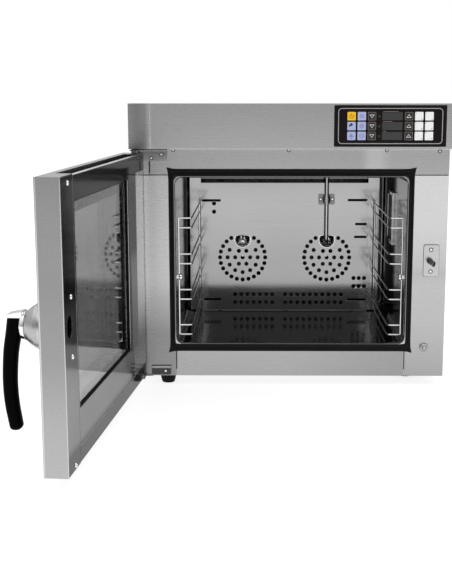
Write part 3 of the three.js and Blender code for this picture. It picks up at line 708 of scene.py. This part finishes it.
# ---- Front fittings ----
def add_front_fittings():
    """Hinge brackets, strike plate, switch collar and the screws that show on the front plates."""
    front = -BACK
    upper_front = span("upper_hinge_bracket")[1].y - 2
    plate_low, plate_high = span("strike_plate")
    centre_x, _, mid_z = middle("strike_plate")
    spots = [((x, 0, 469.2), front, 2.6) for x in (-237, -3, 195)]
    spots += [((302, 0, 467.5), front, 3.2)]
    spots += [((x, upper_front - 0.2, z), front, 3.0) for x, z in ((-281, 453.6), (-260.5, 461))]
    spots += [((-258, upper_front - 0.8, 10.5), front, 3.0)]
    spots += [((centre_x - 1, -2.4, z), front, 3.4) for z in (plate_low.z + 11, plate_high.z - 11)]
    add_fixings("front", spots)

    refined("upper_hinge_bracket", 0.6, "bracket_steel")
    # A dark strip in the gap above the upper hinge bracket paints the shade there.
    Part().plate(
        rounded(-284, 471.4, 68, 3.4, 0.6, 3), [], -3.4, -0.4, 0.15,
    ).done("upper_bracket_gap_shade", "seal_rubber", "seal_rubber")
    refined("lower_hinge_bracket", 0.6, "bracket_steel")
    Part().tube([(-286, -3.2, 18.6), (-248.5, -3.2, 18.6)], 2.2, 16).done("hinge_foot_bar", "bracket_steel")
    # A near-black pad over the lower hinge bracket paints the shade on it.
    Part().plate(
        rounded(-267, 9.2, 40, 13.6, 1.6, 4), [], -2.9, -2.2, 0.25,
    ).done("hinge_foot_shade_pad", "lower_bracket_steel")

    # A near-black ring round the strike plate paints the shadow in the gap round it.
    rim = Part()
    width, height = plate_high.x - plate_low.x, plate_high.z - plate_low.z
    opening = rounded(centre_x, mid_z, width - 1.6, height - 1.6, 4.2)
    rim.plate(rounded(centre_x, mid_z, width, height, 5), [opening], -0.9, -0.1)
    rim.done("strike_plate_shade_gap", "shade_ring_black", "cavity_steel")
    Part().plate(
        rounded(centre_x, mid_z, width - 1.2, height - 1.2, 4.4), [], -2.4, -0.4, 0.5,
    ).done("strike_plate_face", "strike_steel", "cavity_steel")
    # The strike pin and hook are near-black, painted shade.
    strike = Part()
    pin = (288, -2.4, 244)
    strike.lathe([
        (6.4, 0), (6.4, 0.8), (4.6, 2.0), (3.3, 3.2), (3.3, 16.4), (4.8, 17.2), (5.4, 18.2), (5.4, 19.2),
        (4.6, 20.2), (2.6, 20.6),
    ], pin, -BACK, 32)
    hook = [(288, -9.0, 244), (291, -8.8, 238.5), (295, -8.2, 234), (297, -7.2, 237.5), (297.2, -6.2, 242)]
    strike.tube(smooth_path(hook, 5), 1.9)
    strike.done("strike_pin_and_hook", "lower_bracket_steel", replaces="strike_plate")

    at = Vector(middle("door_switch_plunger"))
    at.y = 0
    collar = Part()
    collar.lathe([(10, 0), (10, 0.7), (9.4, 1.0), (4.4, 1.0)], at, -BACK)
    collar.lathe([(8.8, 1.0), (9.2, 1.4), (9.2, 3.6), (8.6, 4.2), (4.4, 4.2)], at, -BACK, 6)
    collar.done("door_switch_nut", "bracket_steel", "cavity_steel", angle=25)
    Part().lathe(
        [(1.4, -6.5), (2.6, -6.2), (3.5, -5.4), (4, -4.2), (4, 19.5), (3.5, 20)], at, BACK, 28,
    ).done("door_switch_pin", "pipe_steel", replaces="door_switch_plunger")


# ---- Cavity ----
CAVITY_X, CAVITY_Z = 2.5, 242.5
FAN_X, FAN_Z = (-101.9, 97.1), 199
INLET_Z, INLET_RADIUS = 241.5, 18.5
BAFFLE_Y = 345
PIPE_X, PIPE_Y = 95, 337


def add_gasket():
    """A hollow rubber profile round the mouth, its mitred corners standing up in points."""
    low, high = span("cavity_gasket")
    inner = (239.3, 174.5)
    outer = ((high.x - low.x) / 2, (high.z - low.z) / 2)
    profile = [
        (0, -0.4), (0, -3.6), (0.05, -5.0), (0.16, -5.9), (0.30, -5.9), (0.40, -4.9), (0.46, -4.0),
        (0.54, -4.0), (0.60, -4.8), (0.72, -5.6), (0.88, -5.6), (0.97, -4.6), (1, -3.2), (1, -0.4),
    ]
    corners = [(1, -1), (1, 1), (-1, 1), (-1, -1)]
    loops = []
    for share, depth in profile:
        half = [a + (b - a) * share for a, b in zip(inner, outer)]
        flare = 3.2 * max(0.0, share - 0.3) / 0.7
        loop = []
        for (sx, sz), (nx, nz) in zip(corners, corners[1:] + corners[:1]):
            here = Vector((sx * half[0], sz * half[1]))
            after = Vector((nx * half[0], nz * half[1]))
            run = (after - here).normalized()
            loop.append(here + Vector((sx, sz)) * flare)
            for reach, lift in ((9, 0.35), (22, 0.0)):
                loop.append(here + run * reach + Vector((sx, sz)) * flare * lift * 0.5)
            for reach, lift in ((22, 0.0), (9, 0.35)):
                loop.append(after - run * reach + Vector((nx, nz)) * flare * lift * 0.5)
        loops.append([(CAVITY_X + p.x, depth, CAVITY_Z + p.y) for p in loop])
    loops.append(loops[0])
    Part().rings(
        loops, caps=False,
    ).done("cavity_gasket_profile", "seal_rubber", replaces="cavity_gasket", angle=50)


def add_liner():
    """Deep-drawn cooking chamber with a rolled lip, turned out to a flange behind the gasket."""
    width, height, depth = 476, 347, span("cavity_liner")[1].y - 1.5
    stations = [
        (491 - 0.8 - width, 0, 1.0), (3.4, 0.0, 17.4), (1.8, 0.4, 16.8), (0.6, 1.4, 16.3), (0, 3.2, 16),
        (0, depth - 7, 16), (-1.6, depth - 3, 15.2), (-5, depth - 0.8, 13.5), (-10, depth, 11),
    ]
    loops = []
    for grow, y, radius in stations:
        outline = rounded(CAVITY_X, CAVITY_Z, width + grow, height + min(grow, 15.2), radius, 8)
        loops.append(at_depth(outline, y))
    skin = Part()
    skin.rings(loops, caps=False)
    skin.bm.faces.new(skin.bm.verts[-len(loops[0]):])
    piece = skin.done("cavity_chamber", "chamber_steel", replaces="cavity_liner")
    side = piece.data.polygons[0]
    centre = OVEN @ Vector((CAVITY_X, depth / 2, CAVITY_Z))
    inwards = (centre - side.center).dot(side.normal) > 0
    wall = piece.modifiers.new("sheet", "SOLIDIFY")
    wall.thickness, wall.offset = 1.4 * MM, -1 if inwards else 1
    apply_modifiers(piece)

    collar = Part()
    ceiling = CAVITY_Z + height / 2
    collar.lathe([(13, 0.3), (13, -1.6), (12, -2.2), (7.5, -2.2), (7.0, -6), (6.0, -6.4), (5.2, -6.4)],
                 (PIPE_X, PIPE_Y, ceiling), UP, 32)
    collar.done("pipe_ceiling_collar", "pipe_steel", "cavity_steel")

    # A dark sheet across the back of the chamber paints the shade behind the baffle.
    backing = Part()
    passages = [circle(x, FAN_Z, 14, 28) for x in FAN_X]
    backing.plate(rounded(CAVITY_X, CAVITY_Z, 464, 335, 11), passages, depth - 3, depth - 1.5, 0.3)
    backing.done("fan_bay_shade_backing", "fan_steel", "cavity_steel")


def inlet_outline(cx, radius):
    """The air inlet above a fan, a circle cut off along the ring of perforations."""
    outline = []
    for x, z in circle(cx, INLET_Z, radius, 48):
        outline.append((x, min(z, FAN_Z + math.sqrt((35.5 + radius) ** 2 - (x - cx) ** 2))))
    return outline


def baffle_holes():
    """Perforation circles, drain rows and rack slots, as outlines in X and Z."""
    holes = []
    radius, pitch = 4.8, 17.8
    for cx in FAN_X:
        holes.append(circle(cx, FAN_Z, radius, 20))
        for ring in (1, 2, 3):
            count = 6 if ring == 1 else 12 * (ring - 1)
            for i in range(count):
                x, z = polar(cx, FAN_Z, ring * pitch, 2 * math.pi * i / count)
                if math.hypot(x - cx, z - INLET_Z) > INLET_RADIUS + radius:
                    holes.append(circle(x, z, radius, 20))
        holes.append(inlet_outline(cx, INLET_RADIUS))
    rows = [(161.6, 186.8, 3, 149.5), (161.6, 186.8, 3, 130)]
    for z in (110, 90.5):
        rows += [(-120, -31.4, 7, z), (-1, 132.5, 10, z)]
    for x0, x1, count, z in rows:
        for i in range(count):
            holes.append(circle(x0 + (x1 - x0) * i / (count - 1), z, radius, 20))
    for z in (327, 307.5):
        holes.append(circle(-169, z, radius, 20))
    slots = [
        (-198, -153, 334), (-194, -153, 98), (145, 191, 335), (163, 191, 278.5), (161, 191, 248),
        (147, 191, 98),
    ]
    for x0, x1, z in slots:
        holes.append(rounded((x0 + x1) / 2, z, x1 - x0, 5.4, 2.6, 4))
    return holes


def add_baffle():
    """The perforated panel in front of the fans, with folded wings, a sloped top and a foot lip."""
    y, bottom, top, sheet = BAFFLE_Y, 71, 375, 1.5
    left, right, wing = -200, 193, 25.5
    outline = [(left, bottom + 2), (right, bottom + 2), (right, top), (left, top)]
    baffle = Part()
    baffle.plate(outline, baffle_holes(), y, y + sheet, 0.25)
    for side, edge in ((-1, left), (1, right)):
        folds = [(edge - side * 0.3, y, 0), (edge + side * 1.5, y, 0), (edge + side * wing, y - 0.6, 0)]
        strip = bent(folds, 1.2, 4)
        back = [p + Vector((0, 1.45, 0)) for p in strip]
        baffle.extrude(strip + back[::-1], (bottom + 2, top + 12), 2)
    top_fold = [(0, y, top - 0.3), (0, y, top + 1), (0, y + 15, top + 8), (0, y + 16.5, top + 32)]
    fold = bent(top_fold, 1.2, 4)
    under = [p + Vector((0, 1.3, -0.75)) for p in fold]
    baffle.extrude(fold + under[::-1], (left, right), 0)
    foot = bent([(0, y, bottom + 2.4), (0, y, bottom + 0.8), (0, y - 13.6, bottom + 0.8)], 1.4, 4)
    above = [Vector((0, y + 1.4, bottom + 2.4)), Vector((0, y + 1.4, bottom)), Vector((0, y - 13.6, bottom))]
    baffle.extrude(foot + above[::-1], (left, right), 0)
    baffle.done("fan_baffle_panel", "cavity_steel", replaces="fan_baffle", angle=40)

    spots = [((x, y - 7, bottom + 1), UP, 2.8) for x in (-155, 0, 157)]
    spots += [((x, y + 14.6, top + 20), -BACK, 2.8) for x in (-153, 153)]
    add_fixings("baffle", spots)

    rims = Part()
    for cx in FAN_X:
        mouth = inlet_outline(cx, INLET_RADIUS)
        rims.plate(inlet_outline(cx, 19.6), [inlet_outline(cx, 17.8)], y - 0.9, y + 2.2, 0.35)
        throat = []
        for share, depth in ((0.96, 1.0), (0.9, 3.0), (0.8, 7.0), (0.74, 13.0), (0.72, 18.0)):
            centre = Vector((cx, INLET_Z - 2))
            throat.append([(centre.x + (x - centre.x) * share, y + depth, centre.y + (z - centre.y) * share)
                           for x, z in mouth])
        rims.rings(throat, caps=False)
        for lean in (-1, 1):
            stay = [(cx + lean * 3, y + 16, 250), (cx + lean * 6, y + 9, 236), (cx + lean * 13, y + 5, 229)]
            rims.tube(smooth_path(stay, 4), 2.4, 10)
        rims.lathe([(9, 14), (9, 12.6), (7, 10.6), (3, 9.8), (0.5, 9.6)], (cx, y, 237), BACK, 28)
    rims.done("fan_inlet_rims", "chrome", "cavity_steel")


def add_fans():
    for node in ("fan_wheel_left", "fan_wheel_right"):
        low, high = span(node)
        at = Vector(((low.x + high.x) / 2, low.y, (low.z + high.z) / 2))
        radius = (high.x - low.x) / 2 - 0.5
        wheel = Part()
        wheel.lathe([(8.6, 1), (9.6, 8), (11, 26), (14, 31.4), (radius, 32), (radius, 33.6),
                     (12, 33.8), (8, 38), (4, 38), (4, 96)], at, BACK, 48)
        wheel.lathe([(radius - 12, 0), (radius - 6, 0.6), (radius, 3.4), (radius, 5), (radius - 6, 2.2),
                     (radius - 12, 1.4), (radius - 12, 0)], at, BACK, 48, caps=False)
        for blade in range(24):
            turn = Matrix.Translation(at) @ Matrix.Rotation(2 * math.pi * blade / 24, 4, "Y")
            curved = [Vector((radius - 26 + 8.4 * k, 0, 3.2 * math.sin(k * 0.9))) for k in range(4)]
            section = curved + [p + Vector((0.1, 0, 1.1)) for p in reversed(curved)]
            wheel.rings([[turn @ (p + Vector((0, y, 0))) for p in section] for y in (1.0, 32.4)])
        body = BODY_OF[node]
        # The wheel is dark steel, painted shade behind the baffle.
        wheel.done(node + "_bladed", "fan_steel", replaces=node, angle=30)
        Part().lathe(
            [(3, -1), (7.6, -0.8), (8.4, 0), (8.4, 1.6)], at, BACK, 6,
        ).done(node + "_hub_nut", "pipe_steel", "cavity_steel", body, angle=25)
    for node in ("fan_motor_left", "fan_motor_right"):
        refined(node, 1.0)
    for node in ("heating_element_left", "heating_element_right"):
        cx, end_y = middle(node)[0], span(node)[1].y
        ring_y, ring_radius, leg = 392, 88, 12
        foot_z = FAN_Z - ring_radius
        path = [(cx - leg, end_y, foot_z), (cx - leg, ring_y + 14, foot_z)]
        for i in range(41):
            x, z = polar(cx, FAN_Z, ring_radius, math.radians(-106 - 328 * i / 40))
            path.append((x, ring_y, z))
        path += [(cx + leg, ring_y + 14, foot_z), (cx + leg, end_y, foot_z)]
        Part().tube(path, 3.5, 14).done(node + "_tube", "element_metal", replaces=node, angle=60)


def add_steam_pipe():
    path = smooth_path([
        *((PIPE_X, PIPE_Y, z) for z in (424, 380, 330, 290, 256)),
        (PIPE_X + 0.2, PIPE_Y + 2, 242), (PIPE_X + 1.4, PIPE_Y + 16, 233),
    ], 5)
    Part().tube(path, 5, 24).done("steam_pipe_tube", "pipe_steel", replaces="steam_pipe", angle=60)

    clip = Part()
    clip.plate(rounded(PIPE_X, 337, 38, 25, 3), [], 342.8, BAFFLE_Y, 0.4)
    arch_y = PIPE_Y + 1
    turns = [math.pi * k / 14 for k in range(15)]
    arch = [Vector((PIPE_X + 8.4 * math.cos(a), arch_y - 7.4 * math.sin(a), 0)) for a in reversed(turns)]
    outer = [Vector((86.6 - 1.0, 344.2, 0)), *arch, Vector((103.4 + 1.0, 344.2, 0))]
    inner = [Vector((PIPE_X + (p.x - PIPE_X) * 0.84, arch_y + (p.y - arch_y) * 0.82, 0)) for p in outer]
    clip.extrude(outer + inner[::-1], (329, 345), 2)
    clip.done("steam_pipe_clip", "bracket_steel", "cavity_steel")
    add_fixings("pipe_clip", [((x, 342.8, 337), -BACK, 3.0) for x in (81.2, 108.8)])


def add_racks():
    """Bent-wire tray guides: pairs of rungs that turn from the front upright to run back."""
    wire, front, back = 1.8, 30, 330
    heights = [82 + 75.4 * level + gap for level in range(4) for gap in (0, 20.4)]
    for node, side in (("rack_left", -1), ("rack_right", 1)):
        wall, tip = CAVITY_X + side * 232.5, CAVITY_X + side * 205
        rack = Part()
        rack.tube([(wall, front, heights[0]), (wall, front, heights[-1])], wire)
        rack.tube([(tip, back, heights[0]), (tip, back, heights[-1])], wire)
        for z in heights:
            rack.tube(bent([(wall, front, z), (tip, front, z), (tip, back, z)], 9), wire)
        for z in (98, 334):
            rack.tube(bent([(tip, back, z), (tip, back + 14, z)], 1), wire)
        rack.done(node + "_wire", "chrome", replaces=node, angle=60)
        nut = Part()
        at = (wall + side * 6.2, front, 205)
        nut.lathe([
            (7.6, 0), (8.2, 0.8), (8.2, 2), (5.4, 2.8), (4.6, 5.0), (6.4, 6.2), (7.4, 8), (7.2, 11),
            (5.8, 13.2), (3, 14.2),
        ], at, (-side, 0, 0), 28)
        nut.done(node + "_thumb_nut", "chrome", "chrome", angle=50)


def add_lamp():
    refined("lamp_frame", 1.2)
    low, high = span("lamp_glass")
    pane = Part()
    ribs, count = 14, 56
    section = []
    for i in range(count + 1):
        rise = 0.9 * abs(math.sin(math.pi * ribs * i / count))
        section.append((low.x + rise, low.y + (high.y - low.y) * i / count, 0))
    section += [(high.x, high.y, 0), (high.x, low.y, 0)]
    pane.extrude(section, (low.z, high.z), 2)
    pane.done("lamp_glass_ribbed", "lamp_glass", replaces="lamp_glass", angle=40)
    frame_low, frame_high = span("lamp_frame")
    corners = [
        (frame_low.x, y, z) for y in (frame_low.y + 4.5, frame_high.y - 4.5)
        for z in (frame_low.z + 4.5, frame_high.z - 4.5)
    ]
    add_fixings("lamp", [(corner, -RIGHT, 2.2) for corner in corners])


# ---- Control panel ----
PRINT_EDGE = 0.02


def add_panel():
    refined("control_panel", 0.3)
    face = span("control_panel")[0].y
    cx, _, cz = middle("control_panel")
    line = Part()
    inner = rounded(cx, cz, 202.6, 66.8, 5.9, 8)
    line.plate(rounded(cx, cz, 205.8, 70, 7.5, 8), [inner], face - 0.12, face + 0.1, 0.03)
    line.done("panel_outline", "silver_print", "panel_black")

    key_rows = sorted({round(middle(node)[2], 1) for node in named("key_")})
    windows, lenses, legends = Part(), Part(), Part()
    for z in key_rows:
        windows.plate(rounded(198.6, z, 40, 15.5, 0.6), [], face - 0.15, face + 0.1, 0.04)
        lenses.lathe([(2.2, 0), (2.2, 0.2), (1.8, 0.3), (0.8, 0.3)], (173, face + 0.05, z), -BACK, 20)
        lenses.plate(circle(173, z, 3.1, 28), [circle(173, z, 2.8, 28)], face - 0.08, face + 0.1, 0.02)
    windows.done("panel_displays", "display_black", "panel_black")
    lenses.done("panel_lamps", "led_lens", "panel_black")
    for run, z in zip((30, 18, 6), reversed(key_rows)):
        line = rounded(180.5 + run / 2, z + 9.0, run, 0.9, 0.3, 2)
        legends.plate(line, [], face - 0.1, face + 0.1, PRINT_EDGE)
    legends.done("panel_marks", "brown_print", "panel_black")


def triangle(x, z, size, up):
    """A triangle that points up or down."""
    flip = 1 if up else -1
    base = z - flip * size * 0.62
    return [(x - size, base), (x + size, base), (x, z + flip * size * 0.78)]


def key_icon(name, x, z, face):
    """The symbol on a key, as its geometry and its ink."""
    icon = Part()

    def mark(outline, *holes):
        icon.plate(outline, holes, face - 0.1, face + 0.1, PRINT_EDGE)

    if name == "key_power":
        ring = []
        for radius, sweep in ((4.3, 1), (3.1, -1)):
            angles = [math.radians(90 + sweep * a) for a in range(35, 326, 15)]
            ring += [polar(x, z - 0.3, radius, a) for a in angles]
        mark(ring)
        mark(rounded(x, z + 2.2, 1.3, 5.2, 0.5, 3))
        return icon, "orange_print"
    if name == "key_light":
        mark(circle(x - 0.4, z + 3.0, 2.7, 18))
        mark([(x - 6.0, z + 0.6), (x - 4.4, z - 1.4), (x - 0.6, z + 0.6), (x - 2.2, z + 3.0)])
        return icon, "navy_print"
    if name == "key_fan":
        for k in range(3):
            spot = polar(x, z, 2.3, math.radians(90 + 120 * k))
            mark(circle(*spot, 1.9, 18), circle(*spot, 1.0, 12))
        mark(rounded(x, z - 5.2, 1.0, 3.0, 0.4, 3))
        return icon, "blue_print"
    if name == "key_steam":
        for dx in (-3, 0, 3):
            wave = [(x + dx + 0.9 * math.sin(k * 1.05), z - 4 + k) for k in range(9)]
            mark([(a - 0.5, b) for a, b in wave] + [(a + 0.5, b) for a, b in reversed(wave)])
        return icon, "blue_print"
    if name == "key_convection":
        mark(circle(x, z, 4.2, 28), circle(x, z, 3.4, 28))
        for k in range(4):
            mark(circle(*polar(x, z, 1.6, math.radians(45 + 90 * k)), 0.8, 14))
        return icon, "blue_print"
    if name == "key_vent":
        mark(circle(x, z, 4.6, 28), circle(x, z, 3.8, 28))
        mark(rounded(x, z, 5.2, 0.9, 0.3, 2))
        return icon, "blue_print"
    if name.startswith(("key_up", "key_down")):
        up = name.startswith("key_up")
        mark(triangle(x, z, 5.0, up), triangle(x, z, 5.0 * 0.66, up))
        return icon, "white_print"
    mark(circle(x - 6.2, z + 6.0, 0.7, 12))
    mark(rounded(x + 5.2, z - 5.4, 2.0, 1.5, 0.5, 2))
    return icon, "navy_print"


def add_keys():
    for node in named("key_"):
        low, high = span(node)
        x, _, z = middle(node)
        width, height = high.x - low.x, high.z - low.z
        slot, body = SLOT_OF[node], BODY_OF[node]
        cap = Part()
        loops = []
        steps = (0, high.y), (0, low.y + 0.7), (0.15, low.y + 0.3), (0.5, low.y + 0.06), (1.0, low.y)
        for inset, y in steps:
            outline = rounded(x, z, width - 2 * inset, height - 2 * inset, 1.6 - inset * 0.6, 5)
            loops.append(at_depth(outline, y))
        cap.rings(loops)
        cap.done(node + "_cap", slot, replaces=node, angle=40)
        icon, ink = key_icon(node, x, z, low.y)
        icon.done(node + "_symbol", ink, slot, body)
        if slot == "key_black":
            border = Part()
            outer = rounded(x, z, width - 0.8, height - 0.8, 1.4, 4)
            inner = rounded(x, z, width - 2.2, height - 2.2, 1, 4)
            border.plate(outer, [inner], low.y - 0.1, low.y + 0.1, PRINT_EDGE)
            border.done(node + "_border", "brown_print", slot, body)


# ---- Door ----
def add_door():
    refined("door_outer_frame", 0.7, "door_skin_steel")
    refined("door_inner_frame", 0.6, "door_stile_steel")
    refined("door_window_seal", 0.4)
    refined("door_inner_glass", 0.6, "inner_door_glass")
    refined("door_outer_glass", 0.6, "outer_door_glass")
    refined("latch_catch", 0.4)
    latch = rounded(606, 235, 29.6, 35.6, 14, 8)
    face = Part()
    window = [(154, 93), (558, 93), (558, 423), (154, 423)]
    sheet = [(121, 33.6), (562.6, 33.6), (562.6, 462), (3, 462), (3, 430), (78, 430), (78, 88), (121, 88)]
    face.plate(sheet, [window], -0.1, 0.3, 0.12)
    face.plate(rounded(601, 234, 72.4, 459, 0.8, 2), [latch], -0.1, 0.3, 0.12)
    face.plate(rounded(284, 18, 559, 26.6, 0.8, 2), [], -0.1, 0.2, 0.1)
    face.done("door_inner_skin", "door_inner_face", body="door")

    border = Part()
    border.plate(rounded(145, 257.5, 18, 339, 1, 2), [], 0.1, 0.7, 0.15)
    glass_border = [rounded(360, 249, 392, 308, 3, 4)]
    border.plate(rounded(351.5, 258, 417, 352, 1, 2), glass_border, -9.6, -9.0, 0.1)
    border.done("door_window_border", "window_border", body="door")

    bead = Part()
    bead.tube([(4, 0.1, 32.6), (562, 0.1, 32.6)], 0.7, 10)
    bead.tube([(636.3, -37.8, 3.6), (636.3, -37.8, 464.4)], 2.0, 16)
    bead.tube([(637.3, -0.5, 3.6), (637.3, -0.5, 464.4)], 0.8, 10)
    bead.done("door_edge_beads", "strike_steel", body="door")
    # A near-white bead paints the highlight along the door's hinge-side edge.
    Part().tube(
        [(0.9, -3.6, 17.5), (0.9, -3.6, 450.5)], 1.2, 12,
    ).done("door_hinge_edge_bead", "painted_highlight_steel", body="door")
    domes = Part()
    for z in (453, 280, 186, 11):
        domes.lathe([(4.0, -0.2), (4.0, 0.5), (3.5, 1.5), (2.4, 2.3), (1.0, 2.6)], (596, 0.2, z), BACK, 28)
    domes.done("door_dome_screws", "chrome", body="door")


def add_handle():
    u, _, z = middle("handle_base", DOOR)
    outside = span("handle_base", DOOR)[1].y
    bell = [
        (5.6, 0), (37.4, 0), (38, 0.8), (38, 4.2), (37.6, 5.2), (35.6, 12.2), (35.0, 13.0), (29.4, 21.8),
        (28.6, 22.4), (24.4, 27.8), (23.4, 28.5), (12, 28.5),
    ]
    Part().lathe(
        bell, (u, outside, z), -BACK, 56,
    ).done("handle_boss", "boss_steel", replaces="handle_base", angle=28)

    cap_bottom = z + 13.5
    hub = Part()
    hub.lathe([(12, 29.2), (22.8, 29.2), (23.4, 29.8), (21.6, 35.6), (20.6, 36.6), (11, 37), (10, 46)],
              (u, outside, z), -BACK, 48)
    hub.lathe([(5, -30), (5, 30)], (u, outside, z), -BACK, 20)
    profile = bent([(0, -99.6, cap_bottom), (0, -99.2, cap_bottom + 5.2), (0, -73.6, cap_bottom + 10.2),
                    (0, -73.2, cap_bottom)], 1.6, 4)
    mid_v, mid_height = -86.4, cap_bottom + 3.8
    hub.rings([
        [(x, p.y * (1 - inset) + mid_v * inset, p.z * (1 - inset) + mid_height * inset) for p in profile]
        for x, inset in ((u - 14.2, 0.10), (u - 13.4, 0.02), (u - 12.6, 0), (u + 12.6, 0), (u + 13.4, 0.02),
                         (u + 14.2, 0.10))
    ])
    hub.done("handle_hub_cap", "chrome", replaces="handle_hub", angle=40)

    path = smooth_path([
        (86.4, 0, 250), (91.2, 0, 222), (96.4, 0, 193), (99.2, 0, 160), (99.6, 0, 133), (97.6, 0, 106),
        (92.6, 0, 74),
    ], 7)
    keep = [p for p in path if p.z < cap_bottom - 0.5]
    keep.insert(0, Vector((path[0].x, 0, cap_bottom - 0.5)))
    tangents = directions(keep)
    loops = []

    def section(centre, tangent, half_v, half_u):
        across = Vector((-tangent.z, 0, tangent.x))
        loop = []
        for c, s in circle(0, 0, 1, 28):
            along_v = half_v * math.copysign(abs(c) ** 0.8, c)
            along_u = half_u * math.copysign(abs(s) ** 0.8, s)
            point = centre + across * along_v
            loop.append((u + along_u, -point.x, point.z))
        return loop

    count = len(keep) - 1
    for i, (point, tangent) in enumerate(zip(keep, tangents)):
        t = i / count
        swell = 13.0 - 0.5 * math.sin(math.pi * min(1, t * 1.25)) - 2.5 * t
        flat = Vector((0, 0, -1)) if i == 0 else tangent
        loops.append(section(point, flat, swell, 13.6 - 1.6 * t))
    end, tangent = keep[-1], tangents[-1]
    for k in range(1, 6):
        a = math.radians(16 * k)
        loops.append(section(end + tangent * 8 * math.sin(a), tangent, 10.5 * math.cos(a), 12 * math.cos(a)))
    Part().rings(loops).done("handle_grip_moulding", "grip_plastic", replaces="handle_grip", angle=50)


# ---- Studio ----
def add_studio():
    floor = Part()
    floor.bm.faces.new([floor.bm.verts.new((x, y, -UNDERSIDE / MM)) for x, y in circle(0, 0, 6300, 96)])
    bmesh.ops.transform(floor.bm, matrix=OVEN, verts=floor.bm.verts)
    mesh = bpy.data.meshes.new("studio_floor")
    floor.bm.to_mesh(mesh)
    floor.bm.free()
    surface(
        "floor_paper", 0.31, 0.33, (0.7, 0.8), 30,
        Emission_Color=grey(1.0), Emission_Strength=0.79,
    )
    mesh.materials.append(FINISH["floor_paper"])
    add_object("studio_floor", mesh)

    world = bpy.data.worlds.new("studio")
    SCENE.world = world
    world.use_nodes = True
    nodes = Nodes(world.node_tree)
    direction = nodes.add("TexCoord").outputs["Generated"]
    split = nodes.add("SeparateXYZ", {0: direction}).outputs
    level = nodes.remap(split[2], -1, 1, 0, 1)
    room = nodes.ramp(level, [(0, 0.9), (0.44, 0.8), (0.51, 0.6), (0.75, 0.9), (0.9, 1.5), (1, 1.6)])
    front = nodes.ramp(level, [
        (0, 0.9), (0.44, 0.9), (0.46, 0.60), (0.505, 0.50), (0.535, 0.10), (0.72, 0.10), (0.86, 1.2),
        (1, 1.4),
    ])
    facing = nodes.remap(split[1], -0.35, -0.7, 0, 1)
    corner = nodes.remap(split[0], -0.30, -0.13, 0.85, 0)
    front = nodes.mix(corner, front, grey(0.22))
    glow = nodes.mix(facing, room, front)
    seen = nodes.add("LightPath").outputs["Is Camera Ray"]
    shown = nodes.mix(seen, glow, grey(1.0))
    background = nodes.add("Background", {"Color": shown, "Strength": 1.0})
    output = nodes.add("OutputWorld")
    nodes.tree.links.new(background.outputs[0], output.inputs[0])

    for name, location, energy, size in (
        ("key_light_box", (-1.6, -3.2, 3.0), 12, 2.2),
        ("fill_light_box", (2.8, -2.2, 2.4), 9, 2.6),
        ("top_light_box", (0.2, 0.6, 3.4), 18, 2.4),
    ):
        light = bpy.data.lights.new(name, "AREA")
        light.energy, light.size = energy, size
        lamp = add_object(name, light)
        lamp.location = location
        lamp.rotation_euler = (Vector((0, 0, 0.3)) - lamp.location).to_track_quat("-Z", "Y").to_euler()
    SCENE.view_settings.view_transform = "Standard"


add_casing()
add_rear()
add_feet()
add_front_fittings()
add_gasket()
add_liner()
add_baffle()
add_fans()
add_steam_pipe()
add_racks()
add_lamp()
add_panel()
add_keys()
add_door()
add_handle()
add_studio()
